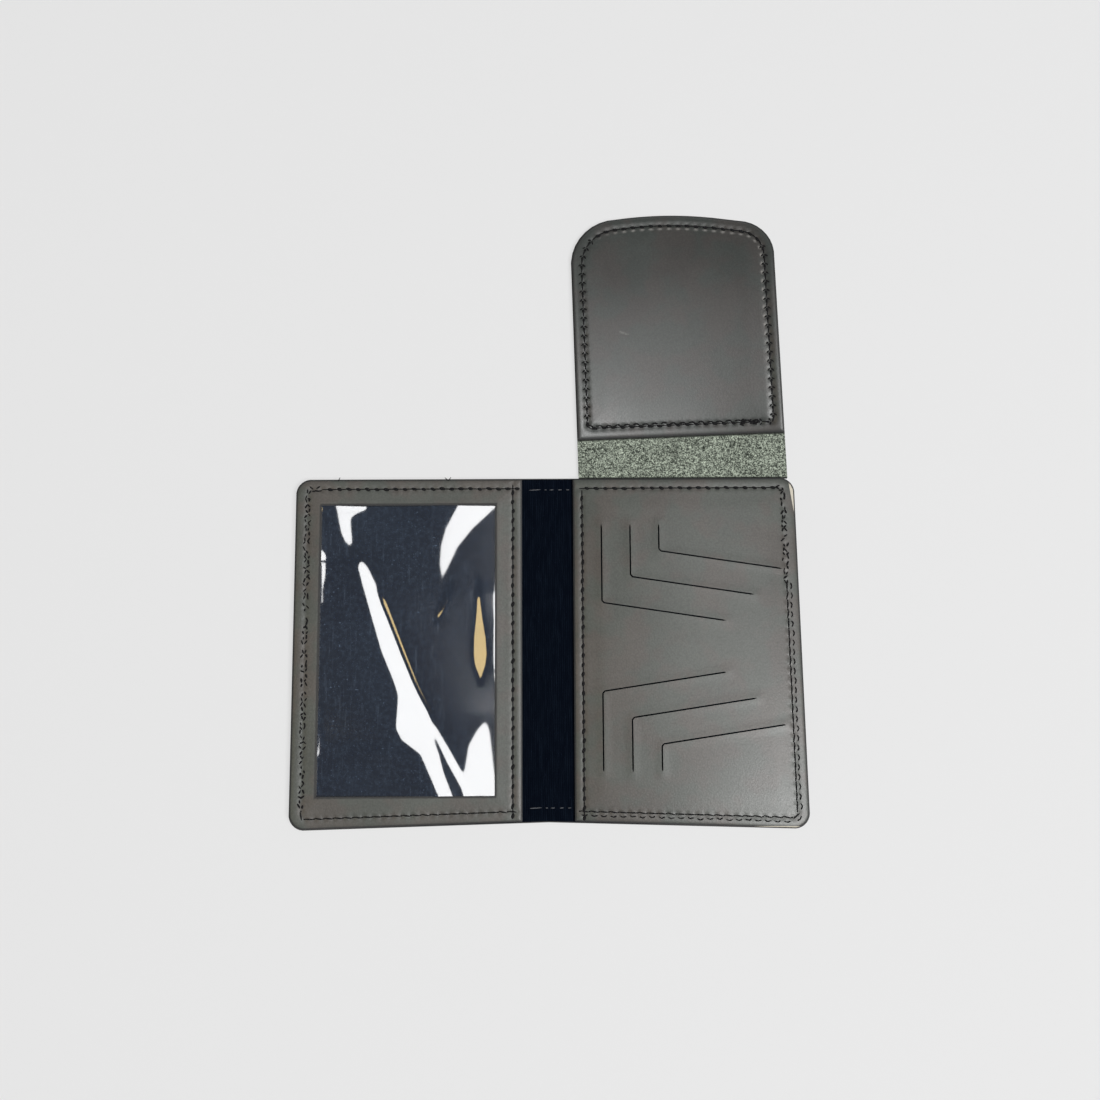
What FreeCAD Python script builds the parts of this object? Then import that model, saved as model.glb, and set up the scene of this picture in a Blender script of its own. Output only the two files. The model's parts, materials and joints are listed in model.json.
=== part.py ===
import FreeCAD, Part
import math
import os
import re
import Sketcher

# Folding leather badge wallet, lying open with its inside up.
# X runs across the two halves, Y runs up towards the badge flap, Z points up.
# The origin is the middle of the spine on the underside of the cover.
# The cover is one hide in use. It is split here along its bend lines: two beside the spine,
# where the halves fold inwards about the lining, and two above the card half, where the
# flap folds both ways about the middle of the leather.

# Driving sizes, in millimetres and degrees.
SIZES = {
    # The two halves and the fabric spine between them.
    "panel_width": "67.9",
    "panel_height": "101.6",
    "foot_drop": "2.2",
    "spine_gap": "15.3",
    "corner_radius": "4.5",
    "edge_reveal": "0.3",
    # Layers, from the outside in.
    "cover_thickness": "1.3",
    "lining_thickness": "0.35",
    "backing_thickness": "0.25",
    "film_thickness": "0.25",
    "panel_thickness": "1.0",
    "liner_thickness": "1.1",
    "card_gap": "0.85",
    # Sewn border round each raised pocket, and the slope up from it.
    "sewn_border": "4.0",
    "slope_share": "0.9",
    "pocket_fit": "0.1",
    # Window for the identity card.
    "window_width": "51.9",
    "window_height": "85.8",
    "window_spine_margin": "8.0",
    "window_top_margin": "8.2",
    "window_corner": "0.8",
    # Card slits, three above the middle and three mirrored below it.
    "slit_width": "0.5",
    "slit_corner": "1.6",
    "slit_slope": "8.6",
    "slit_first_in": "8.4",
    "slit_first_up": "13.1",
    "slit_pitch_in": "8.55",
    "slit_pitch_up": "7.7",
    "slit_leg_end": "36.8",
    "slit_run": "36.7",
    # Badge flap.
    "flap_left_inset": "1.8",
    "flap_right_inset": "3.2",
    "flap_lean": "1.7",
    "flap_neck": "0.8",
    "suede_length": "13.0",
    "liner_length": "71.3",
    "flap_left_corner": "14.5",
    "flap_right_corner": "11.0",
    "flap_crown": "4.0",
    "crown_share": "0.49",
    # Bends of a quarter turn each.
    "edge_setback": "0.65",
    "notch_angle": "47",
    "hinge_gap": "0.04",
    "fold_clearance": "0.35",
    # Sewing thread.
    "seam_inset": "3.2",
    "inner_seam_inset": "2.8",
    "flap_seam_inset": "3.0",
    "flap_seam_foot": "3.5",
    "groove_margin": "0.25",
    "seam_end": "1.4",
    "stitch_pitch": "2.8",
    "stitch_share": "0.78",
    "thread_radius": "0.3",
}

doc = FreeCAD.newDocument("badge_wallet")
sheet = doc.addObject("Spreadsheet::Sheet", "Sizes")
for row, (alias, number) in enumerate(SIZES.items(), start=1):
    sheet.set(f"A{row}", number)
    sheet.setAlias(f"A{row}", alias)
doc.recompute()

# Places that follow from the sizes.
INNER_EDGE = "(spine_gap / 2)"
OUTER_EDGE = "(spine_gap / 2 + panel_width)"
TOP_EDGE = "(panel_height / 2)"
NEUTRAL = "(cover_thickness / 2)"
LINING_TOP = "(cover_thickness + lining_thickness)"
BACKING_TOP = f"({LINING_TOP} + backing_thickness)"
FRAME_RISE = "(card_gap + film_thickness)"
SPINE_HINGE = "(spine_gap / 2 - edge_setback)"
HALF_GAP = "(hinge_gap / 2)"
FLAP_LEFT = f"({INNER_EDGE} + flap_left_inset)"
FLAP_RIGHT = f"({OUTER_EDGE} - flap_right_inset)"
FLAP_WIDTH = f"({FLAP_RIGHT} - {FLAP_LEFT})"
FLAP_CENTRE = f"(({FLAP_LEFT} + {FLAP_RIGHT}) / 2)"
CROWN_RADIUS = f"(crown_share * {FLAP_WIDTH} * {FLAP_WIDTH} / (4 * flap_crown))"
FLAP_HINGE = f"({TOP_EDGE} + flap_neck)"
LINER_FOOT = f"({TOP_EDGE} + suede_length)"
FLAP_APEX = f"({LINER_FOOT} + liner_length)"
# The folded flap, with its liner and thread, lies clear above the card panel.
FLAP_RISE = (f"({BACKING_TOP} + card_gap + panel_thickness + fold_clearance"
             " + thread_radius + liner_thickness)")
FLAP_LAST_HINGE = f"({FLAP_HINGE} + {FLAP_RISE})"
# A bend line that closes both ways needs its edges bevelled on both faces.
BEVEL = f"({HALF_GAP} + {NEUTRAL} * tan(notch_angle))"


def bound(text):
    """Gives an expression in which every size is read from the sheet."""
    return re.sub(r"[a-z_]+", lambda word: f"Sizes.{word[0]}" if word[0] in SIZES else word[0], text)


def value(text):
    """Gives the number that an expression stands for."""
    return float(sheet.evalExpression(bound(text)))


def corner_round(before, corner, after, radius):
    """Gives the two tangent points, the centre and the turn of one rounded corner."""
    first = (before - corner).normalize()
    second = (after - corner).normalize()
    half = first.getAngle(second) / 2
    reach = radius / math.tan(half)
    centre = corner + (first + second).normalize() * (radius / math.sin(half))
    turn = first.cross(second).z
    return corner + first * reach, corner + second * reach, centre, turn


def rounded_curves(points, radii, closed=True):
    """Gives the lines and arcs through points whose corners are rounded."""
    count = len(points)
    starts = list(points)
    ends = list(points)
    arcs = {}
    for index, radius in enumerate(radii):
        if radius > 0:
            before = points[index - 1]
            after = points[(index + 1) % count]
            into, out, centre, turn = corner_round(before, points[index], after, radius)
            ends[index] = into
            starts[index] = out
            low, high = (into, out) if turn < 0 else (out, into)
            first = math.atan2(low.y - centre.y, low.x - centre.x)
            last = math.atan2(high.y - centre.y, high.x - centre.x)
            if last < first:
                last = last + 2 * math.pi
            circle = Part.Circle(centre, FreeCAD.Vector(0, 0, 1), radius)
            arcs[index] = (Part.ArcOfCircle(circle, first, last), turn)
    lines = []
    for index in range(count if closed else count - 1):
        lines.append(Part.LineSegment(starts[index], ends[(index + 1) % count]))
    return lines, arcs


def plane(body, role):
    """Gives one of the body's own origin planes."""
    return next(feature for feature in body.Origin.OriginFeatures if feature.Role == role)


def outline(body, name, corners, height="0", role="XY_Plane"):
    """Adds a closed sketch with sides between corners, each given as two places and a radius."""
    points = [FreeCAD.Vector(value(across), value(up), 0) for across, up, radius in corners]
    area = sum(a.x * b.y - b.x * a.y for a, b in zip(points, points[1:] + points[:1]))
    if area < 0:
        corners = list(reversed(corners))
        points.reverse()
    radii = [value(radius) for across, up, radius in corners]
    lines, arcs = rounded_curves(points, radii)
    sketch = body.newObject("Sketcher::SketchObject", name)
    sketch.AttachmentSupport = (plane(body, role), [""])
    sketch.MapMode = "FlatFace"
    sketch.setExpression("AttachmentOffset.Base.z", bound(height))
    sketch.addGeometry(lines, False)

    def drive(kind, *places, size):
        index = sketch.addConstraint(Sketcher.Constraint(kind, *places, value(size)))
        sketch.setExpression(f"Constraints[{index}]", bound(size))

    for index, (across, up, radius) in enumerate(corners):
        into = (index - 1) % len(corners)
        if index in arcs:
            arc, turn = arcs[index]
            arc_index = sketch.addGeometry(arc, False)
            first, last = (1, 2) if turn < 0 else (2, 1)
            sketch.addConstraint(Sketcher.Constraint("Tangent", into, 2, arc_index, first))
            sketch.addConstraint(Sketcher.Constraint("Tangent", arc_index, last, index, 1))
            drive("Radius", arc_index, size=radius)
            mark = sketch.addGeometry(Part.Point(points[index]), True)
            sketch.addConstraint(Sketcher.Constraint("PointOnObject", mark, 1, into))
            sketch.addConstraint(Sketcher.Constraint("PointOnObject", mark, 1, index))
        else:
            sketch.addConstraint(Sketcher.Constraint("Coincident", into, 2, index, 1))
            mark = index
        drive("DistanceX", -1, 1, mark, 1, size=across)
        drive("DistanceY", -1, 1, mark, 1, size=up)
    return sketch


def new_body(label):
    """Starts one sub-part."""
    body = doc.addObject("PartDesign::Body", label)
    body.Label = label
    return body


def pad(body, name, sketch, length):
    """Raises a sketch along its normal."""
    feature = body.newObject("PartDesign::Pad", name)
    feature.Profile = sketch
    feature.setExpression("Length", bound(length))
    return feature


def pocket(body, name, sketch, depth):
    """Cuts below a sketch, against its normal."""
    feature = body.newObject("PartDesign::Pocket", name)
    feature.Profile = sketch
    feature.setExpression("Length", bound(depth))
    return feature


def foot(across, inset):
    """Gives the place of a half's lower edge, which drops from the spine to the outer corner."""
    slope = f"foot_drop / ({OUTER_EDGE} - {SPINE_HINGE})"
    return f"-({TOP_EDGE} - {inset}) - ({across} - {SPINE_HINGE}) * {slope}"


def half_corners(side, inset, spine_side, outer_radius, spine_radius="0"):
    """Gives the corners of a plate over one half of the wallet."""
    outer_side = f"({OUTER_EDGE} - {inset})"
    outer = f"{side} * {outer_side}"
    spine = f"{side} * ({spine_side})"
    top = f"{TOP_EDGE} - {inset}"
    return [
        (spine, foot(f"({spine_side})", inset), spine_radius),
        (outer, foot(outer_side, inset), outer_radius),
        (outer, top, outer_radius),
        (spine, top, spine_radius),
    ]


def leant(across, up, radius="0"):
    """Gives a corner of the flap, which leans towards the window half above its suede strip."""
    return f"{across} - ({up} - {LINER_FOOT}) * tan(flap_lean)", up, radius


def flap_corners(inset, low, foot_lean="0"):
    """Gives the corners of the flap's outline, drawn in from its edge by an inset."""
    crown = f"flap_crown * (1 - 2 * {inset} / {FLAP_WIDTH})"
    shoulder = f"{FLAP_APEX} - {inset} - {crown}"
    left = f"{FLAP_LEFT} + {inset}"
    right = f"{FLAP_RIGHT} - {inset}"
    tilt = f"({FLAP_WIDTH} / 2 - {inset}) * tan({foot_lean})"
    return [
        leant(left, f"{low} - {tilt}"),
        leant(right, f"{low} + {tilt}"),
        leant(right, shoulder, f"flap_right_corner - {inset}"),
        leant(FLAP_CENTRE, f"{FLAP_APEX} - {inset}", f"{CROWN_RADIUS} - {inset}"),
        leant(left, shoulder, f"flap_left_corner - {inset}"),
    ]


def raised_panel(label, side, floor, rise, spine_raised):
    """Builds a leather panel with a flat sewn border and a raised, hollow middle."""
    body = new_body(label)
    border = outline(body, f"{label}_border_outline",
                     half_corners(side, "edge_reveal", INNER_EDGE, "corner_radius - edge_reveal"),
                     height=floor)
    pad(body, f"{label}_border", border, "panel_thickness")
    step = f"({floor} + panel_thickness)"
    spine_side = INNER_EDGE if spine_raised else f"{INNER_EDGE} + sewn_border"
    spine_radius = "0" if spine_raised else "corner_radius"
    raised = outline(body, f"{label}_raised_outline",
                     half_corners(side, "sewn_border", spine_side, "corner_radius", spine_radius),
                     height=step)
    raised_pad = pad(body, f"{label}_raised", raised, rise)
    doc.recompute()
    slope = body.newObject("PartDesign::Chamfer", f"{label}_slope")
    slope.Base = (raised_pad, top_edges(raised_pad.Shape, f"{step} + {rise}", side, spine_raised))
    slope.setExpression("Size", bound(f"{rise} * slope_share"))
    hollow_inset = f"(sewn_border + {rise} + pocket_fit)"
    hollow_spine = INNER_EDGE if spine_raised else f"{INNER_EDGE} + {hollow_inset}"
    hollow = outline(body, f"{label}_hollow_outline", half_corners(side, hollow_inset, hollow_spine, "0"),
                     height=f"{floor} + {rise}")
    pocket(body, f"{label}_hollow", hollow, rise)
    return body


def top_edges(shape, height, side, spine_raised):
    """Names the edges round the top of a raised middle, without one at an open pocket mouth."""
    level = value(height)
    mouth = float(side) * value(INNER_EDGE)
    near = value("pocket_fit")
    names = []
    for index, edge in enumerate(shape.Edges, start=1):
        box = edge.BoundBox
        on_top = abs(box.ZMin - level) < near and abs(box.ZMax - level) < near
        on_mouth = spine_raised and abs(box.XMin - mouth) < near and abs(box.XMax - mouth) < near
        if on_top and not on_mouth:
            names.append(f"Edge{index}")
    return names


def plate(label, corners, floor, thickness):
    """Builds a flat sheet from an outline."""
    body = new_body(label)
    sketch = outline(body, f"{label}_outline", corners, height=floor)
    pad(body, f"{label}_sheet", sketch, thickness)
    return body


def spine_sheet(label, floor, thickness, inset):
    """Builds one layer of the spine, between the bend lines of the two halves."""
    across = f"{SPINE_HINGE} - {HALF_GAP}"
    up = f"{TOP_EDGE} - {inset}"
    corners = [
        (f"-({across})", f"-({up})", "0"),
        (across, f"-({up})", "0"),
        (across, up, "0"),
        (f"-({across})", up, "0"),
    ]
    return plate(label, corners, floor, thickness)


def hinge_strip(label):
    """Builds the strip between the flap's two bend lines."""
    body = new_body(label)
    low = f"{FLAP_HINGE} + {BEVEL}"
    high = f"{FLAP_LAST_HINGE} - {BEVEL}"
    profile = outline(body, f"{label}_profile", [
        (low, "0", "0"),
        (high, "0", "0"),
        (f"{FLAP_LAST_HINGE} - {HALF_GAP}", NEUTRAL, "0"),
        (high, "cover_thickness", "0"),
        (low, "cover_thickness", "0"),
        (f"{FLAP_HINGE} + {HALF_GAP}", NEUTRAL, "0"),
    ], height=FLAP_LEFT, role="YZ_Plane")
    pad(body, f"{label}_hide", profile, FLAP_WIDTH)
    return body


def hinge_lip(body, name, root, line, direction):
    """Adds the end of the hide that runs from a root line to a bevelled bend line."""
    back = f"{line} - {direction} * {BEVEL}"
    profile = outline(body, f"{name}_profile", [
        (root, "0", "0"),
        (back, "0", "0"),
        (f"{line} - {direction} * {HALF_GAP}", NEUTRAL, "0"),
        (back, "cover_thickness", "0"),
        (root, "cover_thickness", "0"),
    ], height=FLAP_LEFT, role="YZ_Plane")
    return pad(body, name, profile, FLAP_WIDTH)


def seam_points(corners):
    """Gives the points and radii of a seam's path as numbers."""
    points = [FreeCAD.Vector(value(across), value(up), 0) for across, up, radius in corners]
    radii = [value(radius) for across, up, radius in corners]
    return points, radii


def stitches(corners, height):
    """Gives half-round stitches along an open path, lying on the layer below them."""
    points, radii = seam_points(corners)
    lines, arcs = rounded_curves(points, radii, closed=False)
    curves = []
    for index in range(len(points)):
        if index in arcs:
            curves.append(arcs[index][0].toShape())
        if index < len(lines):
            curves.append(lines[index].toShape())
    wire = Part.Wire(Part.__sortEdges__(curves))
    count = max(1, round(wire.Length / value("stitch_pitch")))
    holes = wire.discretize(Number=count + 1)
    return [stitch(first, last, value(height)) for first, last in zip(holes, holes[1:])]


def stitch(first, last, height):
    """Gives one half-round stitch between two holes."""
    radius = value("thread_radius")
    along = last - first
    length = along.Length * value("stitch_share")
    low = FreeCAD.Vector(0, -radius, 0)
    high = FreeCAD.Vector(0, radius, 0)
    arch = Part.Arc(low, FreeCAD.Vector(0, 0, radius), high).toShape()
    end = Part.Face(Part.Wire([arch, Part.makeLine(high, low)]))
    solid = end.extrude(FreeCAD.Vector(length, 0, 0))
    solid.translate(FreeCAD.Vector(-length / 2, 0, 0))
    turn = FreeCAD.Rotation(FreeCAD.Vector(0, 0, 1), math.degrees(math.atan2(along.y, along.x)))
    middle = (first + last) / 2
    place = FreeCAD.Placement(FreeCAD.Vector(middle.x, middle.y, height), turn)
    return solid.transformed(place.toMatrix())


def seam(label, solids):
    """Adds the stitches of one seam as a sub-part."""
    feature = doc.addObject("Part::Feature", label)
    feature.Label = label
    feature.Shape = Part.makeCompound(solids)
    feature.Placement = FreeCAD.Placement()
    return feature


def edge_seam(side):
    """Gives the path of the seam round three sides of one half."""
    return half_corners(side, "seam_inset", f"{INNER_EDGE} + seam_end", "corner_radius - seam_inset")


def spine_seam(side, reach):
    """Gives the path of the seam beside the spine on one half."""
    across = f"{side} * ({INNER_EDGE} + inner_seam_inset)"
    return [(across, f"-({reach})", "0"), (across, reach, "0")]


# Right half: cover, lining, cloth backing and the slit card panel.
parts = []
bend_edge = f"{SPINE_HINGE} + {HALF_GAP}"
cover_right = plate("cover_right", half_corners("1", "0", bend_edge, "corner_radius"), "0", "cover_thickness")
neck_root = f"{TOP_EDGE} - corner_radius"
hinge_lip(cover_right, "cover_right_neck", neck_root, FLAP_HINGE, "1")
parts.append(cover_right)
lining_radius = "corner_radius - edge_reveal"
lining = half_corners("1", "edge_reveal", bend_edge, lining_radius)
parts.append(plate("lining_right", lining, "cover_thickness", "lining_thickness"))
backing = half_corners("1", "edge_reveal", INNER_EDGE, "corner_radius - edge_reveal")
parts.append(plate("card_backing", backing, LINING_TOP, "backing_thickness"))
card_panel = raised_panel("card_panel", "1", BACKING_TOP, "card_gap", False)
panel_top = f"{BACKING_TOP} + card_gap + panel_thickness"
half_slit = "(slit_width / 2)"
slit_reach = f"({half_slit} / cos(slit_slope))"
slit_lean = "tan(slit_slope)"
slits = []
for number in range(3):
    across = f"({INNER_EDGE} + slit_first_in + slit_pitch_in * {number})"
    up = f"(slit_first_up + slit_pitch_up * {number})"
    far = f"{across} + slit_run"
    far_up = f"{up} - slit_run * {slit_lean}"
    slit_outline = outline(card_panel, f"slit_{number + 1}_outline", [
        (f"{across} - {half_slit}", "slit_leg_end", "0"),
        (f"{across} - {half_slit}", f"{up} + {half_slit} * {slit_lean} - {slit_reach}",
         f"slit_corner + {half_slit}"),
        (far, f"{far_up} - {slit_reach}", "0"),
        (far, f"{far_up} + {slit_reach}", "0"),
        (f"{across} + {half_slit}", f"{up} - {half_slit} * {slit_lean} + {slit_reach}",
         f"slit_corner - {half_slit}"),
        (f"{across} + {half_slit}", "slit_leg_end", "0"),
    ], height=panel_top)
    slits.append(pocket(card_panel, f"slit_{number + 1}", slit_outline, "panel_thickness"))
lower_slits = card_panel.newObject("PartDesign::Mirrored", "lower_slits")
lower_slits.Originals = slits
lower_slits.MirrorPlane = (plane(card_panel, "XZ_Plane"), [""])
card_panel.Tip = lower_slits
parts.append(card_panel)

# Left half: cover, lining, window frame and the clear film behind it.
cover = half_corners("-1", "0", bend_edge, "corner_radius")
parts.append(plate("cover_left", cover, "0", "cover_thickness"))
lining = half_corners("-1", "edge_reveal", bend_edge, lining_radius)
parts.append(plate("lining_left", lining, "cover_thickness", "lining_thickness"))
window_frame = raised_panel("window_frame", "-1", LINING_TOP, FRAME_RISE, True)
window_right = f"-({INNER_EDGE} + window_spine_margin)"
window_left = f"{window_right} - window_width"
window_top = f"{TOP_EDGE} - window_top_margin"
window_bottom = f"{window_top} - window_height"
window_outline = outline(window_frame, "window_outline", [
    (window_left, window_bottom, "window_corner"),
    (window_right, window_bottom, "window_corner"),
    (window_right, window_top, "window_corner"),
    (window_left, window_top, "window_corner"),
], height=f"{LINING_TOP} + {FRAME_RISE} + panel_thickness")
pocket(window_frame, "window", window_outline, "panel_thickness")
parts.append(window_frame)
film_inset = f"(sewn_border + {FRAME_RISE} + 2 * pocket_fit)"
film_corners = half_corners("-1", film_inset, INNER_EDGE, "0")
parts.append(plate("window_film", film_corners, f"{LINING_TOP} + card_gap", "film_thickness"))

# Spine: hide and lining between the two halves.
parts.append(spine_sheet("spine_cover", "0", "cover_thickness", "0"))
parts.append(spine_sheet("spine_lining", "cover_thickness", "lining_thickness", "edge_reveal"))

# Flap: a hinge strip above the card half, then the hide and its stitched liner.
parts.append(hinge_strip("flap_hinge"))
flap_base = new_body("flap_base")
flap_sketch = outline(flap_base, "flap_base_outline", flap_corners("0", LINER_FOOT))
pad(flap_base, "flap_base_hide", flap_sketch, "cover_thickness")
hinge_lip(flap_base, "flap_base_suede", LINER_FOOT, FLAP_LAST_HINGE, "-1")
parts.append(flap_base)
liner_corners = flap_corners("edge_reveal", LINER_FOOT, "flap_lean")
flap_liner = plate("flap_liner", liner_corners, "cover_thickness", "liner_thickness")
# The thread lies in a groove, so that a badge can rest flat on the liner inside it.
groove_half = "(thread_radius + groove_margin)"
seam_foot = f"({LINER_FOOT} + flap_seam_foot)"
liner_top = "cover_thickness + liner_thickness"
groove_floor = f"{liner_top} - thread_radius"
groove_outside = outline(flap_liner, "groove_outside",
                         flap_corners(f"(flap_seam_inset - {groove_half})", f"{seam_foot} - {groove_half}",
                                      "flap_lean"),
                         height=liner_top)
pocket(flap_liner, "groove", groove_outside, "thread_radius")
badge_bed = outline(flap_liner, "badge_bed_outline",
                    flap_corners(f"(flap_seam_inset + {groove_half})", f"{seam_foot} + {groove_half}",
                                 "flap_lean"),
                    height=groove_floor)
pad(flap_liner, "badge_bed", badge_bed, "thread_radius")
parts.append(flap_liner)
doc.recompute()

# Seams: half-round stitches on the inside faces.
card_border = f"{BACKING_TOP} + panel_thickness"
frame_border = f"{LINING_TOP} + panel_thickness"
frame_top = f"{LINING_TOP} + {FRAME_RISE} + panel_thickness"
card_reach = f"{TOP_EDGE} - seam_inset - seam_end"
frame_reach = f"{TOP_EDGE} - sewn_border - {FRAME_RISE} - seam_end"
parts.append(seam("seam_right", stitches(edge_seam("1"), card_border)))
parts.append(seam("seam_card_panel", stitches(spine_seam("1", card_reach), card_border)))
parts.append(seam("seam_left", stitches(edge_seam("-1"), frame_border)))
parts.append(seam("seam_window", stitches(spine_seam("-1", frame_reach), frame_top)))
spine_stitches = []
for direction in ("1", "-1"):
    level = f"{direction} * ({TOP_EDGE} - seam_inset)"
    path = [(f"-{SPINE_HINGE}", level, "0"), (SPINE_HINGE, level, "0")]
    spine_stitches.extend(stitches(path, LINING_TOP))
parts.append(seam("spine_seam", spine_stitches))
flap_path = flap_corners("flap_seam_inset", seam_foot, "flap_lean")
flap_rise_path = flap_path[1:] + flap_path[:1]
flap_stitches = stitches(flap_path[:2], groove_floor) + stitches(flap_rise_path, groove_floor)
parts.append(seam("flap_seam", flap_stitches))
doc.recompute()

# Every object has to be sound before the parts are written.
faults = [item.Name for item in doc.Objects if {"Invalid", "Error"} & set(item.State)]
for part in parts:
    if part.Shape.isNull() or not part.Shape.isValid():
        faults.append(part.Label)
if faults:
    raise RuntimeError(f"unsound objects: {faults}")
os.makedirs("parts", exist_ok=True)
for part in parts:
    part.Shape.exportStep(f"parts/{part.Label}.step")
    box = part.Shape.BoundBox
    print(part.Label, len(part.Shape.Solids), f"{part.Shape.Volume:.1f}",
          f"x {box.XMin:.2f} {box.XMax:.2f} y {box.YMin:.2f} {box.YMax:.2f} z {box.ZMin:.2f} {box.ZMax:.2f}")
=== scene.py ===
"""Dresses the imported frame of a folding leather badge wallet, lying open on a pale table."""

import json
import logging
import math
import random
from abc import ABC, abstractmethod
from collections.abc import Callable, Sequence
from dataclasses import dataclass, field
from enum import Enum

import bmesh
import bpy
import numpy as np
from mathutils import Matrix, Vector, noise


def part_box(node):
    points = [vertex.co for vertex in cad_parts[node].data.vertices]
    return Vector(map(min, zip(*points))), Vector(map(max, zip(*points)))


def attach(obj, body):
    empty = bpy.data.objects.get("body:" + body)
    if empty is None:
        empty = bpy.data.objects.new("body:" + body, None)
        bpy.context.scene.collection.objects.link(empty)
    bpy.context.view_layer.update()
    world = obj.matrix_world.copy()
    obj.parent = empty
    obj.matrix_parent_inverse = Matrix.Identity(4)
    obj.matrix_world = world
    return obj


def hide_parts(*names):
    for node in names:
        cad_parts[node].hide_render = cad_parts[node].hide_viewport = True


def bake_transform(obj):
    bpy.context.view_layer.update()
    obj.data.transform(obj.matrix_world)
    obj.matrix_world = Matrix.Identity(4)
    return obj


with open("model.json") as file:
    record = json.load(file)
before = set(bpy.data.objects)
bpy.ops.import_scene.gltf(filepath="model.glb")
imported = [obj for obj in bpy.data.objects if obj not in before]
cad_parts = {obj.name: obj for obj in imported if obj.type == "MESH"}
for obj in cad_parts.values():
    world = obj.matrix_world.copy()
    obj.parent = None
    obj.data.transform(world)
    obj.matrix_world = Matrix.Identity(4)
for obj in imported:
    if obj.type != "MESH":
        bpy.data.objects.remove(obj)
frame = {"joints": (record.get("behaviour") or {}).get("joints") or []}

MM = 0.001
LOG = logging.getLogger("wallet")
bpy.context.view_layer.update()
Pair = tuple[float, float]
Triple = tuple[float, float, float]
Colour = Triple
Line = tuple[Vector, Vector]
OverPlan = Callable[[np.ndarray], np.ndarray]


class Slot(Enum):
    """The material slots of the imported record."""

    LEATHER = "leather"
    COVER = "cover"
    SUEDE = "suede"
    LINING = "lining"
    FILM = "film"
    THREAD = "thread"


class Side(Enum):
    """The two halves of the open wallet, as a sign along X."""

    WINDOW = -1
    CARD = 1

    @property
    def word(self) -> str:
        """Names the side on which the half lies."""
        return "right" if self is Side.CARD else "left"

    @property
    def body(self) -> str:
        """Names the half's body."""
        return f"{self.word}_half"

    @property
    def joint(self) -> str:
        """Names the joint between the half and the spine."""
        return "spine_fold" if self is Side.CARD else "window_fold"


def smooth(value: np.ndarray, low: float, high: float) -> np.ndarray:
    """Eases from 0 to 1 between two limits."""
    share = np.clip((value - low) / (high - low), 0.0, 1.0)
    return share * share * (3.0 - 2.0 * share)


def ripple(places: np.ndarray, size: float, seed: float) -> np.ndarray:
    """Gives a slow unevenness over a plan."""
    return np.array([noise.noise(Vector((x / size, y / size, seed))) for x, y in places])


def fade(distance: np.ndarray, reach: float) -> np.ndarray:
    """Falls from 1 at an edge to 0 at some distance from it."""
    return np.clip(1.0 - distance / reach, 0.0, 1.0)


def hump(distance: np.ndarray, spread: float) -> np.ndarray:
    """Falls from 1 at a line, in the shape of a bell."""
    return np.exp(-((distance / spread) ** 2))


def grey(level: float) -> Colour:
    """Gives a colour without a hue."""
    return level, level, level


def flat(level: float) -> OverPlan:
    """Gives a surface that has one height everywhere."""
    return lambda places: np.full(len(places), level)


def aside_of(run: Vector) -> Vector:
    """Gives the direction to the left of a run in plan."""
    return Vector((-run.y, run.x, 0.0))


class Shade:
    """A shader socket that can stand in a formula."""

    def __init__(self, bench: "Bench", socket: bpy.types.NodeSocket) -> None:
        """Keeps the socket and the node tree that it belongs to."""
        self.bench = bench
        self.socket = socket

    def _math(self, operation: str, first: "Shade | float", second: "Shade | float") -> "Shade":
        """Adds one Math node for two values."""
        return self.bench.node("ShaderNodeMath", {"operation": operation}, {0: first, 1: second})

    def __add__(self, other: "Shade | float") -> "Shade":
        """Adds a value."""
        return self._math("ADD", self, other)

    def __radd__(self, other: float) -> "Shade":
        """Adds to a number."""
        return self._math("ADD", other, self)

    def __sub__(self, other: "Shade | float") -> "Shade":
        """Takes a value away."""
        return self._math("SUBTRACT", self, other)

    def __rsub__(self, other: float) -> "Shade":
        """Takes this away from a number."""
        return self._math("SUBTRACT", other, self)

    def __mul__(self, other: "Shade | float") -> "Shade":
        """Multiplies by a value."""
        return self._math("MULTIPLY", self, other)

    def __rmul__(self, other: float) -> "Shade":
        """Multiplies a number."""
        return self._math("MULTIPLY", other, self)

    def peak(self, other: "Shade | float") -> "Shade":
        """Takes the larger of two values."""
        return self._math("MAXIMUM", self, other)


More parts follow.
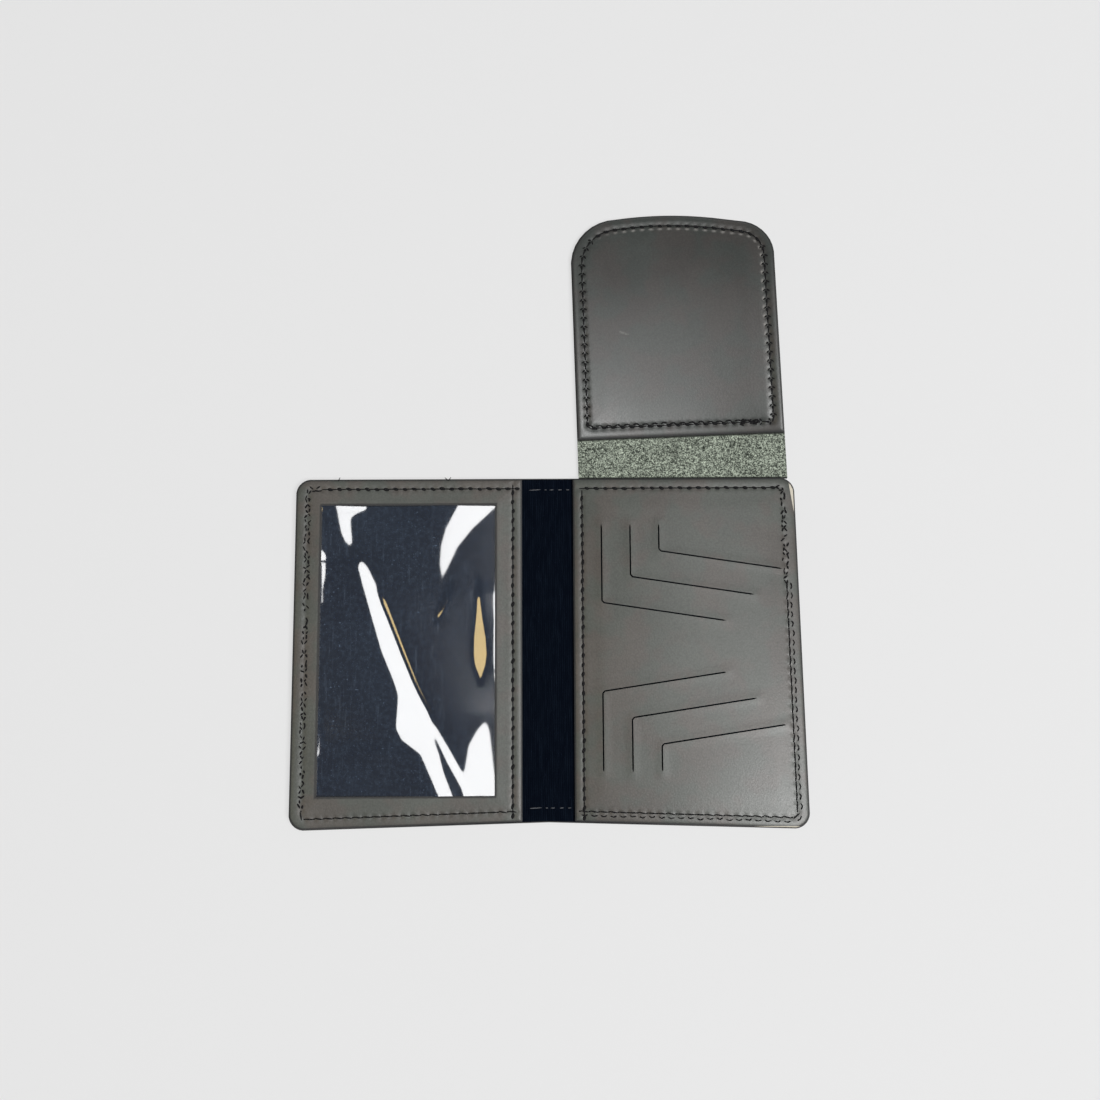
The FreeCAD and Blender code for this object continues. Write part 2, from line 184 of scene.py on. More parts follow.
class Bench:
    """One material's node tree, and the single way in which nodes are added to it."""

    def __init__(self, name: str) -> None:
        """Starts an empty material.

        Args:
            name: The material's name.
        """
        self.material = bpy.data.materials.new(name)
        self.material.use_nodes = True
        self.tree = self.material.node_tree
        self.tree.nodes.clear()

    def node(
        self,
        kind: str,
        settings: dict[str, object] | None = None,
        sockets: dict[str | int, object] | None = None,
        output: str | int = 0,
    ) -> Shade:
        """Adds one node.

        Args:
            kind: The node's type.
            settings: Its own properties.
            sockets: Values or links for its inputs.
            output: The output that is used.

        Returns:
            The chosen output.
        """
        made = self.tree.nodes.new(kind)
        for key, value in (settings or {}).items():
            setattr(made, key, value)
        for key, value in (sockets or {}).items():
            if isinstance(value, Shade):
                self.tree.links.new(value.socket, made.inputs[key])
            else:
                made.inputs[key].default_value = value
        return Shade(self, made.outputs[output])

    def place(self) -> Shade:
        """Gives the position in the wallet's own frame."""
        return self.node("ShaderNodeTexCoord", output="Object")

    def mark(self, name: str) -> Shade:
        """Reads a number that the mesh notes at each point."""
        return self.node("ShaderNodeAttribute", {"attribute_name": name}, None, "Fac")

    def sine(self, value: Shade) -> Shade:
        """Makes a wave of a value."""
        return self.node("ShaderNodeMath", {"operation": "SINE"}, {0: value})

    def upright(self, share: float) -> Shade:
        """Gives the position squeezed along Y, which draws a noise out into upright streaks."""
        return self.node("ShaderNodeMapping", None, {"Vector": self.place(), "Scale": (1.0, share, 1.0)})

    def grain(self, size: float, detail: float = 2.0, roughness: float = 0.5,
              vector: Shade | None = None) -> Shade:
        """Adds a noise whose features have a given size.

        Args:
            size: Size of a feature in metres.
            detail: Octaves of finer noise.
            roughness: Strength of the finer noise.
            vector: Position to read, the plain one if none is given.

        Returns:
            A value between 0 and 1.
        """
        sockets = {"Vector": vector or self.place(), "Scale": 1.0 / size,
                   "Detail": detail, "Roughness": roughness}
        return self.node("ShaderNodeTexNoise", None, sockets, "Fac")

    def clamp(self, value: Shade, low: float, high: float) -> Shade:
        """Stretches a value's range from low to high over 0 to 1, smoothly."""
        sockets = {"Value": value, "From Min": low, "From Max": high}
        return self.node("ShaderNodeMapRange", {"interpolation_type": "SMOOTHSTEP"}, sockets)

    def blend(self, factor: Shade | float, first: Shade | Colour, second: Shade | Colour,
              way: str = "MIX") -> Shade:
        """Mixes two colours.

        Args:
            factor: Share of the second colour.
            first: First colour.
            second: Second colour.
            way: Blend type of the Mix node.

        Returns:
            The mixed colour.
        """
        colours = [c if isinstance(c, Shade) else (*c, 1.0) for c in (first, second)]
        settings = {"data_type": "RGBA", "blend_type": way}
        return self.node("ShaderNodeMix", settings, {0: factor, 6: colours[0], 7: colours[1]}, 2)

    def tinted(self, base: Shade, tint: Shade) -> Shade:
        """Multiplies a colour by another."""
        return self.blend(1.0, base, tint, "MULTIPLY")

    def bump(self, height: Shade, depth: float, strength: float = 1.0) -> Shade:
        """Turns a height into a tilted normal."""
        sockets = {"Height": height, "Distance": depth, "Strength": strength}
        return self.node("ShaderNodeBump", None, sockets)

    def close(self, shader: Shade) -> bpy.types.Material:
        """Ends the tree with its output.

        Args:
            shader: The finished shader.

        Returns:
            The material.
        """
        made = self.tree.nodes.new("ShaderNodeOutputMaterial")
        self.tree.links.new(shader.socket, made.inputs["Surface"])
        return self.material


class Finish(ABC):
    """A surface finish that makes its material once."""

    name: str

    @abstractmethod
    def shader(self, bench: Bench) -> Shade:
        """Builds the finish's shader on a bench."""

    def material(self) -> bpy.types.Material:
        """Makes the finish's material on first use.

        Returns:
            The material.
        """
        made = bpy.data.materials.get(self.name)
        if made is None:
            bench = Bench(self.name)
            made = bench.close(self.shader(bench))
        return made


@dataclass(frozen=True)
class GrainLeather(Finish):
    """Finely pebbled, semi-matt leather with cloudy dye."""

    name: str = "grain_leather"
    colour: Colour = (0.077, 0.0755, 0.0665)
    cell: float = 0.55 * MM
    cell_depth: float = 0.03 * MM
    cloud: float = 14.0 * MM
    roughness: float = 0.4
    shine: float = 0.6
    # Pale colour of the painted highlight on the puckers beside the flap's stitches, and of a scratch.
    stretched: Colour = (0.36, 0.345, 0.32)
    cloud_range: Pair = (0.93, 1.07)
    pore: float = 0.35 * MM
    warmth: float = 8.0 * MM
    cool_tint: Colour = (0.94, 1.03, 1.01)
    warm_tint: Colour = (1.06, 0.975, 0.965)
    speck_range: Pair = (1.12, 0.8)
    rim_paint_and_shade: Colour = (0.011, 0.011, 0.011)

    def shader(self, bench: Bench) -> Shade:
        """Mixes pebbles, pores, clouds of dye, a painted highlight on the puckers beside the stitches with a
        pale scratch, and dark paint along the rims.

        Args:
            bench: Tree that gets the nodes.

        Returns:
            The finished shader.
        """
        sockets = {"Vector": bench.place(), "Scale": 1.0 / self.cell, "Randomness": 0.9}
        pebble = bench.node("ShaderNodeTexVoronoi", {"feature": "SMOOTH_F1"}, sockets, "Distance")
        pore = bench.grain(self.pore, 3.0, 0.7)
        cloud = bench.grain(self.cloud, 3.0, 0.55)
        warm = bench.grain(self.warmth, 2.0)
        rim = bench.mark("edge")
        dark, light = (tuple(share * c for c in self.colour) for share in self.cloud_range)
        base = bench.blend(bench.clamp(cloud, 0.32, 0.68), dark, light)
        tint = bench.blend(bench.clamp(warm, 0.4, 0.62), self.cool_tint, self.warm_tint)
        base = bench.tinted(base, tint)
        speck = bench.clamp(pore * 0.6 + pebble * 0.5, 0.2, 0.75)
        base = bench.tinted(base, bench.blend(speck, *map(grey, self.speck_range)))
        painted = bench.clamp(rim + (pore - 0.5) * 0.3, 0.34, 0.62)
        # Painted highlight on the puckers beside the stitches, where the lamps would catch their slopes, and
        # a pale scratch.
        pucker_highlight_and_scratch = bench.mark("pucker_highlight_and_scratch")
        base = bench.blend(bench.clamp(pucker_highlight_and_scratch + (pore - 0.5) * 0.5, 0.1, 0.9), base, self.stretched)
        # Darker near the rims: edge paint on the outer edges, and a dark band along the window's rim.
        base = bench.blend(painted * 0.9, base, self.rim_paint_and_shade)
        swell = bench.mark("swell")
        height = ((1.0 - pebble) * 0.6 + pore * 0.4) * (self.cell_depth / MM) + swell
        gloss = self.roughness + 0.06 * (pebble - 0.4) + 0.1 * (cloud - 0.5) + 0.25 * painted
        return bench.node("ShaderNodeBsdfPrincipled", None, {
            "Base Color": base, "Roughness": gloss, "Specular IOR Level": self.shine,
            "Normal": bench.bump(height, MM)})


@dataclass(frozen=True)
class FleshSuede(Finish):
    """The napped flesh side of the hide, speckled light and dark."""

    name: str = "flesh_suede"
    light: Colour = (0.66, 0.74, 0.6)
    dark: Colour = (0.008, 0.012, 0.008)
    rim_paint_and_shade: Colour = (0.012, 0.014, 0.012)
    coarse: float = 0.9 * MM
    fine: float = 0.36 * MM
    cloud: float = 9.0 * MM
    cloud_range: Pair = (0.88, 1.1)
    nap: float = 0.16 * MM

    def shader(self, bench: Bench) -> Shade:
        """Mixes coarse and fine speckle, darkened as painted shade where the mesh marks it.

        Args:
            bench: Tree that gets the nodes.

        Returns:
            The finished shader.
        """
        coarse = bench.grain(self.coarse, 2.0, 0.6)
        fine = bench.grain(self.fine, 2.0, 0.7)
        speck = bench.clamp(coarse * 0.25 + fine * 0.75, 0.375, 0.73)
        rim = bench.mark("edge")
        cloud = bench.grain(self.cloud, 2.0)
        base = bench.blend(speck, self.dark, self.light)
        base = bench.tinted(base, bench.blend(bench.clamp(cloud, 0.3, 0.7), *map(grey, self.cloud_range)))
        # Painted shade: the suede is darkened beside the pad's edge and along the strip's foot.
        painted = bench.clamp(rim + (fine - 0.5) * 0.7, 0.3, 0.75)
        base = bench.blend(painted * 0.92, base, self.rim_paint_and_shade)
        return bench.node("ShaderNodeBsdfPrincipled", None, {
            "Base Color": base, "Roughness": 0.9 - 0.1 * fine, "Sheen Weight": 0.15,
            "Specular IOR Level": 0.25, "Normal": bench.bump(speck, self.nap)})


@dataclass(frozen=True)
class CutEdge(Finish):
    """A cut leather edge: dark paint, worn through to pale fibre at a few spots."""

    name: str = "cut_edge"
    paint: Colour = (0.035, 0.034, 0.033)
    fibre: Colour = (0.62, 0.57, 0.47)
    spots: tuple[Triple, ...] = ()
    rough: float = 0.5 * MM
    patch: float = 3.0 * MM
    depth: float = 0.08 * MM

    def shader(self, bench: Bench) -> Shade:
        """Mixes paint and fibre round the worn spots.

        Args:
            bench: Tree that gets the nodes.

        Returns:
            The finished shader.
        """
        place = bench.place()
        rough = bench.grain(self.rough, 3.0, 0.7)
        patch = bench.grain(self.patch, 2.0)
        worn = bench.clamp(patch, 0.68, 0.76) * 0.5
        for x, y, reach in self.spots:
            sockets = {0: place, 1: (x, y, 0.0)}
            far = bench.node("ShaderNodeVectorMath", {"operation": "DISTANCE"}, sockets, "Value")
            near = bench.clamp(far + (rough - 0.5) * (0.8 * reach), reach, 0.55 * reach)
            worn = worn.peak(near)
        rim = bench.mark("edge")
        base = bench.blend(worn, self.paint, self.fibre)
        base = bench.blend(bench.clamp(rim, 0.3, 0.5), base, self.paint)
        return bench.node("ShaderNodeBsdfPrincipled", None, {
            "Base Color": base, "Roughness": 0.62 + 0.2 * rough, "Normal": bench.bump(rough, self.depth)})


@dataclass(frozen=True)
class RibbedCloth(Finish):
    """Dark ribbed lining cloth with a little lint."""

    name: str = "ribbed_cloth"
    colour: Colour = (0.0012, 0.0024, 0.0058)
    lint: Colour = (0.0042, 0.0075, 0.014)
    rib: float = 0.62 * MM
    weft_share: float = 0.7
    sway: float = 6.0 * MM
    thread: float = 0.7 * MM
    streak: float = 0.12
    depth: float = 0.12 * MM

    def shader(self, bench: Bench) -> Shade:
        """Mixes ribs along the wallet's height with cross threads and lint.

        Args:
            bench: Tree that gets the nodes.

        Returns:
            The finished shader.
        """
        turn = 2.0 * math.pi
        sway = bench.grain(self.sway, 1.0)
        parts = [bench.node("ShaderNodeSeparateXYZ", None, {0: bench.place()}, axis) for axis in "XY"]
        across = parts[0] * (turn / self.rib) + sway * 5.0
        along = parts[1] * (turn / (self.weft_share * self.rib))
        rib = bench.sine(across)
        weft = bench.sine(along)
        weave = rib * 0.34 + weft * 0.14 + 0.5
        thread = bench.grain(self.thread, 3.0, 0.65, bench.upright(self.streak))
        base = bench.blend(bench.clamp(thread * 0.7 + weave * 0.3, 0.42, 0.78), self.colour, self.lint)
        height = weave * 0.6 + thread * 0.6
        return bench.node("ShaderNodeBsdfPrincipled", None, {
            "Base Color": base, "Roughness": 0.95 - 0.1 * thread, "Specular IOR Level": 0.03,
            "Normal": bench.bump(height, self.depth)})


@dataclass(frozen=True)
class ClearFilm(Finish):
    """Glossy clear plastic film, faintly scuffed."""

    name: str = "clear_film"
    tint: Colour = (0.0, 0.003, 0.014)
    mark_colour: Colour = (0.21, 0.31, 0.45)
    cover: float = 0.75
    scuff: float = 0.9 * MM
    streak: float = 0.07
    dust: float = 0.6 * MM
    mottle: float = 1.3 * MM
    haze: float = 22.0 * MM

    def shader(self, bench: Bench) -> Shade:
        """Mixes clear gloss with upright scuffs, mottling, haze and dust.

        Args:
            bench: Tree that gets the nodes.

        Returns:
            The finished shader.
        """
        scuff = bench.clamp(bench.grain(self.scuff, 4.0, 0.7, bench.upright(self.streak)), 0.53, 0.78)
        dust = bench.clamp(bench.grain(self.dust, 1.0), 0.71, 0.77)
        mottle = bench.clamp(bench.grain(self.mottle, 4.0, 0.7), 0.42, 0.7)
        haze = bench.clamp(bench.grain(self.haze, 2.0), 0.4, 0.75)
        marks = scuff * 0.16 + haze * 0.03 + dust * 0.4 + mottle * 0.09
        base = bench.blend(marks, self.tint, self.mark_colour)
        return bench.node("ShaderNodeBsdfPrincipled", None, {
            "Base Color": base, "Roughness": 0.09 + 0.1 * scuff, "Alpha": self.cover + 0.2 * dust,
            "Specular IOR Level": 1.0, "IOR": 1.55, "Coat Weight": 1.0, "Coat Roughness": 0.085,
            "Coat IOR": 3.2})


@dataclass(frozen=True)
class TwistedThread(Finish):
    """Waxed sewing thread, its plies shown along each stitch."""

    name: str = "waxed_thread"
    colour: Colour = (0.003, 0.003, 0.0035)
    ply: Colour = (0.014, 0.014, 0.015)
    roughness: float = 0.7
    turns: float = 12.566
    slant: float = 28.0
    fuzz: float = 0.2 * MM
    depth: float = 0.05 * MM

    def shader(self, bench: Bench) -> Shade:
        """Winds a stripe round each stitch on its own map.

        Args:
            bench: Tree that gets the nodes.

        Returns:
            The finished shader.
        """
        chart = bench.node("ShaderNodeTexCoord", output="UV")
        parts = [bench.node("ShaderNodeSeparateXYZ", None, {0: chart}, axis) for axis in "XY"]
        ply = bench.sine(parts[0] * self.turns + parts[1] * self.slant) * 0.5 + 0.5
        fuzz = bench.grain(self.fuzz, 2.0)
        base = bench.blend(ply * 0.6 + fuzz * 0.4, self.colour, self.ply)
        return bench.node("ShaderNodeBsdfPrincipled", None, {
            "Base Color": base, "Roughness": self.roughness + 0.15 * fuzz, "Specular IOR Level": 0.15,
            "Normal": bench.bump(ply, self.depth)})


@dataclass(frozen=True)
class PaleFloor(Finish):
    """A plain pale table that keeps a soft shadow."""

    name: str = "pale_floor"
    level: float = 0.79
    glow: float = 0.8

    def shader(self, bench: Bench) -> Shade:
        """Holds the table's grey for the eye and for reflections.

        Args:
            bench: Tree that gets the nodes.

        Returns:
            The finished shader.
        """
        shade = (*grey(self.level), 1.0)
        seen = [bench.node("ShaderNodeLightPath", output=ray)
                for ray in ("Is Camera Ray", "Is Glossy Ray", "Is Transmission Ray")]
        direct = seen[0].peak(seen[1]).peak(seen[2]) * self.glow
        matt = bench.node("ShaderNodeBsdfDiffuse", None, {"Color": shade})
        lit = bench.node("ShaderNodeEmission", None, {"Color": shade, "Strength": 1.0})
        return bench.node("ShaderNodeMixShader", None, {0: direct, 1: matt, 2: lit})


LEATHER = GrainLeather()
# Painted shade: the flap's leather is the halves' leather in a darker copy, so that the flap reads darker as
# it does under its light.
SHADED_FLAP_LEATHER = GrainLeather("flap_leather_painted_shade", (0.049, 0.0494, 0.0455))
HIDE = GrainLeather("hide_outside", (0.06, 0.059, 0.055), 0.85 * MM, 0.09 * MM, 18.0 * MM, 0.46)
SUEDE = FleshSuede()
CLOTH = RibbedCloth()
FILM = ClearFilm()
BLACK_THREAD = TwistedThread()
PALE_THREAD = TwistedThread("pale_thread", (0.06, 0.065, 0.07), (0.13, 0.135, 0.145), 0.8)
PANEL_EDGE = CutEdge("panel_edge")
COVER_EDGE = CutEdge("cover_edge", spots=(
    (74.6 * MM, 45.5 * MM, 6.5 * MM), (68.0 * MM, -52.6 * MM, 9.0 * MM)))


@dataclass(frozen=True)
class Outline:
    """A convex plan shape: its corners anticlockwise, each with its radius."""

    corners: tuple[Triple, ...]

    def sides(self) -> list[Line]:
        """Draws the straight sides.

        Returns:
            A point on each side and the direction out of it.
        """
        lines = []
        for first, second in zip(self.corners, self.corners[1:] + self.corners[:1]):
            run = Vector((second[0] - first[0], second[1] - first[1], 0.0)).normalized()
            lines.append((Vector((first[0], first[1], 0.0)), Vector((run.y, -run.x, 0.0))))
        return lines

    def arc(self, index: int, steps: int = 9) -> list[Line]:
        """Gives the tangents round one corner.

        Args:
            index: Which corner.
            steps: How many tangents.

        Returns:
            Points on the corner's arc and the directions out of it.
        """
        x, y, radius = self.corners[index]
        sides = self.sides()
        first = sides[index - 1][1]
        second = sides[index][1]
        spread = first.xy.angle_signed(second.xy, 0.0)
        bisector = (first + second).normalized()
        centre = Vector((x, y, 0.0)) - bisector * (radius / max(math.cos(spread / 2.0), 0.05))
        outward = [first.copy() for _ in range(steps)]
        for step, direction in enumerate(outward):
            direction.rotate(Matrix.Rotation(-spread * step / (steps - 1), 3, "Z"))
        return [(centre + direction * radius, direction) for direction in outward]

    def cuts(self) -> list[Line]:
        """Draws the sides and the rounded corners as tangents.

        Returns:
            A point on each tangent and the direction out of it.
        """
        lines = self.sides()
        for index, corner in enumerate(self.corners):
            if corner[2] > 0.0:
                lines.extend(self.arc(index))
        return lines

    def depth(self, places: np.ndarray) -> np.ndarray:
        """Measures how far inside the shape each place is.

        Args:
            places: Plan positions, one row each.

        Returns:
            Distances to the edge, positive inside.
        """
        found = np.full(len(places), np.inf)
        for point, outward in self.cuts():
            found = np.minimum(found, (places - np.array(point.xy)) @ -np.array(outward.xy))
        return found

    def inner(self, insets: Sequence[float], least: float = 1.2 * MM) -> "Outline":
        """Draws the shape again, further in.

        Args:
            insets: Distance in from each side.
            least: Smallest radius of a corner.

        Returns:
            The smaller outline.
        """
        sides = zip(self.sides(), insets)
        moved = [(point - outward * inset, outward) for (point, outward), inset in sides]
        corners = []
        for index, corner in enumerate(self.corners):
            (first, one), (second, two) = moved[index - 1], moved[index]
            run = aside_of(one)
            reach = (second - first).dot(two) / run.dot(two)
            spot = first + run * reach
            shrink = (insets[index - 1] + insets[index]) / 2.0
            corners.append((spot.x, spot.y, max(corner[2] - shrink, least)))
        return Outline(tuple(corners))


class Path:
    """A seam's line on a panel."""

    def __init__(self, points: Sequence[Vector]) -> None:
        """Measures the line.

        Args:
            points: The line's points, in order.
        """
        self.points = np.array([tuple(point.xy) for point in points])
        self.runs = np.diff(self.points, axis=0)
        self.lengths = np.linalg.norm(self.runs, axis=1)
        self.starts = np.concatenate(([0.0], np.cumsum(self.lengths)))

    @classmethod
    def round(cls, outline: Outline, first: int, closed: bool = False) -> "Path":
        """Follows an outline from one corner to the next ones.

        Args:
            outline: The shape to follow.
            first: Corner at which the line starts.
            closed: Whether it comes back to its start.

        Returns:
            The line, rounded at the corners that it passes.
        """
        count = len(outline.corners)
        points = []
        for step in range(count):
            index = (first + step) % count
            if step in (0, count - 1) and not closed:
                points.append(Vector(outline.corners[index][:2] + (0.0,)))
            else:
                points.extend(point for point, _ in outline.arc(index))
        return cls(points + points[:1] if closed else points)

    @property
    def length(self) -> float:
        """Gives the whole length."""
        return float(self.starts[-1])

    def at(self, along: float) -> Line:
        """Gives the place and direction at a distance along the line.

        Args:
            along: Distance from the start.

        Returns:
            The place and the direction of travel.
        """
        index = min(int(np.searchsorted(self.starts, along, "right")) - 1, len(self.runs) - 1)
        direction = self.runs[index] / self.lengths[index]
        spot = self.points[index] + direction * (along - self.starts[index])
        return Vector((*spot, 0.0)), Vector((*direction, 0.0))

    def nearest(self, places: np.ndarray) -> tuple[np.ndarray, np.ndarray]:
        """Measures how far places are from the line.

        Args:
            places: Plan positions, one row each.

        Returns:
            The distance of each place, and how far along the line it is.
        """
        best = np.full(len(places), np.inf)
        along = np.zeros(len(places))
        for start, run, length, before in zip(self.points, self.runs, self.lengths, self.starts):
            if length < 1e-9:
                continue
            share = np.clip((places - start) @ run / length**2, 0.0, 1.0)
            gap = np.linalg.norm(places - start - share[:, None] * run, axis=1)
            closer = gap < best
            best[closer] = gap[closer]
            along[closer] = before + share[closer] * length
        return best, along


class Sewing(Enum):
    """The ways in which a row of stitches lies on the leather."""

    NEAT = "neat"
    THIN = "thin"
    CHEVRON = "chevron"
    DOUBLE = "double"
    LOOPED = "looped"


Zones = tuple[tuple[float, Sewing], ...]


@dataclass(frozen=True)
class Stitching:
    """A row's pitch, and the way in which it lies up to each share of its length."""

    zones: Zones = ((1.0, Sewing.NEAT),)
    pitch: float = 2.8 * MM
    loop: float = 0.62 * MM
    seed: int = 1

    def way(self, share: float) -> Sewing:
        """Tells how the row lies at a share of its length."""
        return next((sewing for end, sewing in self.zones if share <= end), self.zones[-1][1])


@dataclass
class Seam:
    """One row of stitches on its line, with the groove that it pulls into the leather."""

    path: Path
    style: Stitching = field(default_factory=Stitching)
    groove: float = 0.07 * MM
    groove_spread: float = 0.6 * MM
    hole: float = 0.16 * MM
    hole_spread: float = 0.7 * MM

    @property
    def count(self) -> int:
        """Gives the number of stitches."""
        return max(1, round(self.path.length / self.style.pitch))

    @property
    def step(self) -> float:
        """Gives the pitch that divides the line evenly."""
        return self.path.length / self.count

    def phase(self, along: np.ndarray) -> np.ndarray:
        """Measures the distance along the line to the nearest hole."""
        return np.abs((along / self.step + 0.5) % 1.0 - 0.5) * self.step

    def dent(self, places: np.ndarray) -> np.ndarray:
        """Measures how deep the seam pulls the leather in.

        Args:
            places: Plan positions, one row each.

        Returns:
            Depths, positive.
        """
        gap, along = self.path.nearest(places)
        phase = self.phase(along)
        hole = np.exp(-(gap**2 + phase**2) / self.hole_spread**2)
        return self.groove * hump(gap, self.groove_spread) + self.hole * hole


@dataclass
class Surface:
    """The top of a sewn panel over its whole plan."""

    outline: Outline
    border: float
    rise: float
    rise_from: float = 3.4 * MM
    rise_to: float = 10.0 * MM
    roll: float = 0.3 * MM
    roll_reach: float = 0.45 * MM
    wave: float = 0.1 * MM
    wave_size: float = 24.0 * MM
    wave_reach: float = 6.0 * MM
    paint_reach: float = 0.85 * MM
    seed: float = 0.0
    seams: list[Seam] = field(default_factory=list)
    bulge: Pair = (0.0, 0.0)
    bulge_shift: Pair = (0.0, 0.0)

    def height(self, places: np.ndarray) -> np.ndarray:
        """Gives the height of the leather.

        Args:
            places: Plan positions, one row each.

        Returns:
            Heights over the table.
        """
        depth = self.outline.depth(places)
        top = self.border + self.rise * smooth(depth, self.rise_from, self.rise_to)
        top -= self.roll * np.exp(-np.maximum(depth, 0.0) / self.roll_reach)
        top += self.wave * ripple(places, self.wave_size, self.seed) * smooth(depth, 0.0, self.wave_reach)
        for seam in self.seams:
            top -= seam.dent(places)
        return top

    def swell(self, places: np.ndarray) -> np.ndarray:
        """Gives the panel's own slow bulge, which only the sheen shows."""
        middle = np.mean([(x, y) for x, y, _ in self.outline.corners], axis=0) + np.array(self.bulge_shift)
        return -np.sum(np.array(self.bulge) * ((places - middle) / MM) ** 2, axis=1) / 2.0

    def paint(self, places: np.ndarray) -> np.ndarray:
        """Gives the edge paint's share, which fades in from the rim."""
        return fade(self.outline.depth(places), self.paint_reach)


class SheetMesh:
    """A flat sheet that is cut, shaped and thickened into one piece."""

    CUT_TOLERANCE: float = 1e-7
    SLIT_TOLERANCE: float = 1e-6
    ON_SLIT: float = 2e-6
    SLIT_TAPER: float = 1.0 * MM
    FACING: float = 0.6
    SHARP: float = math.radians(48.0)

    def __init__(self, quad: Sequence[Pair], spacing: float) -> None:
        """Lays a grid over the four corners of the sheet.

        Args:
            quad: Plan corners, anticlockwise.
            spacing: Size of a grid cell.
        """
        low_left, low_right, high_right, high_left = (Vector((*corner, 0.0)) for corner in quad)
        across = max((low_right - low_left).length, (high_right - high_left).length)
        up = max((high_left - low_left).length, (high_right - low_right).length)
        self.spacing = spacing
        self.bm = bmesh.new()
        bmesh.ops.create_grid(self.bm, x_segments=round(across / spacing),
                              y_segments=round(up / spacing), size=0.5)
        for vert in self.bm.verts:
            foot = low_left.lerp(low_right, vert.co.x + 0.5)
            head = high_left.lerp(high_right, vert.co.x + 0.5)
            vert.co = foot.lerp(head, vert.co.y + 0.5)

    def trim(self, lines: Sequence[Line]) -> None:
        """Cuts off what lies outside some lines."""
        for point, outward in lines:
            self.bisect(point, outward, True)

    def bisect(self, point: Vector, outward: Vector, clear: bool = False) -> None:
        """Cuts the whole sheet along a line.

        Args:
            point: A point on the line.
            outward: Direction across the line.
            clear: Whether what lies beyond the line goes.
        """
        geom = self.bm.verts[:] + self.bm.edges[:] + self.bm.faces[:]
        bmesh.ops.bisect_plane(self.bm, geom=geom, dist=self.CUT_TOLERANCE, plane_co=point,
                               plane_no=outward, clear_outer=clear)

    def places(self) -> np.ndarray:
        """Gives the plan positions of all points."""
        return np.array([vert.co.xy for vert in self.bm.verts])

    def open_window(self, low: Vector, high: Vector) -> None:
        """Cuts a square-cornered hole.

        Args:
            low: Lower left corner of the hole.
            high: Upper right corner of the hole.
        """
        for outward in (Vector((1.0, 0.0, 0.0)), Vector((0.0, 1.0, 0.0))):
            for point in (low, high):
                self.bisect(point, outward)
        inside = []
        for face in self.bm.faces:
            middle = face.calc_center_median()
            if low.x < middle.x < high.x and low.y < middle.y < high.y:
                inside.append(face)
        bmesh.ops.delete(self.bm, geom=inside, context="FACES")

    def slit(self, points: Sequence[Vector], opening: float) -> None:
        """Cuts the sheet along a bent line and parts its lips.

        Args:
            points: The line's points.
            opening: Greatest distance between the lips.
        """
        legs = [(first, (last - first).normalized(), (last - first).length)
                for first, last in zip(points, points[1:])]
        for first, run, reach in legs:
            across = aside_of(run)
            near = []
            for face in self.bm.faces:
                offset = face.calc_center_median() - first
                beside = abs(offset.dot(across)) < 2.0 * self.spacing
                if beside and -self.spacing < offset.dot(run) < reach + self.spacing:
                    near.append(face)
            geom = near + list({e for f in near for e in f.edges}) + list({v for f in near for v in f.verts})
            bmesh.ops.bisect_plane(self.bm, geom=geom, dist=self.SLIT_TOLERANCE, plane_co=first,
                                   plane_no=across)
        chosen: set[bmesh.types.BMEdge] = set()
        for first, run, reach in legs:
            across = aside_of(run)
            for edge in self.bm.edges:
                offsets = [vert.co - first for vert in edge.verts]
                if all(abs(offset.dot(across)) < self.ON_SLIT
                       and -self.ON_SLIT < offset.dot(run) < reach + self.ON_SLIT for offset in offsets):
                    chosen.add(edge)
        parted = bmesh.ops.split_edges(self.bm, edges=list(chosen))
        lips = {vert for edge in parted["edges"] for vert in edge.verts}
        path = Path(points)
        gaps, alongs = path.nearest(self.places())
        reach = 3.0 * opening
        for vert, gap, along in zip(self.bm.verts, gaps, alongs):
            if gap < reach:
                spot, run = path.at(along)
                across = aside_of(run)
                middle = vert.co
                if vert in lips:
                    middle = sum((face.calc_center_median() for face in vert.link_faces), Vector())
                    middle = middle / len(vert.link_faces)
                end = min(1.0, along / self.SLIT_TAPER, (path.length - along) / self.SLIT_TAPER)
                push = math.copysign(opening / 2.0 * (1.0 - gap / reach) * end, (middle - spot).dot(across))
                vert.co += across * push

    def raise_to(self, height: OverPlan) -> None:
        """Lifts every point of the sheet to a surface."""
        for vert, level in zip(self.bm.verts, height(self.places())):
            vert.co.z = level

    def mark(self, name: str, share: OverPlan) -> None:
        """Notes a number at each point, for the finish to read.

        Args:
            name: Name under which the finish reads it.
            share: The number over the plan.
        """
        layer = self.bm.verts.layers.float.new(name)
        for vert, level in zip(self.bm.verts, share(self.places())):
            vert[layer] = level

    def relax(self, times: int) -> None:
        """Evens out the heights a few times over."""
        for _ in range(times):
            bmesh.ops.smooth_vert(self.bm, verts=self.bm.verts[:], factor=0.5, use_axis_z=True)

    def thicken(self, depth: float, under: OverPlan | None = None) -> None:
        """Gives the sheet its thickness.

        Args:
            depth: Thickness below the top.
            under: Heights of the underside, if it isn't parallel to the top.
        """
        made = bmesh.ops.extrude_face_region(self.bm, geom=self.bm.faces[:])
        lower = [item for item in made["geom"] if isinstance(item, bmesh.types.BMVert)]
        bmesh.ops.translate(self.bm, verts=lower, vec=(0.0, 0.0, -depth))
        if under is not None:
            for vert, level in zip(lower, under(np.array([vert.co.xy for vert in lower]))):
                vert.co.z = level
        bmesh.ops.recalc_face_normals(self.bm, faces=self.bm.faces[:])

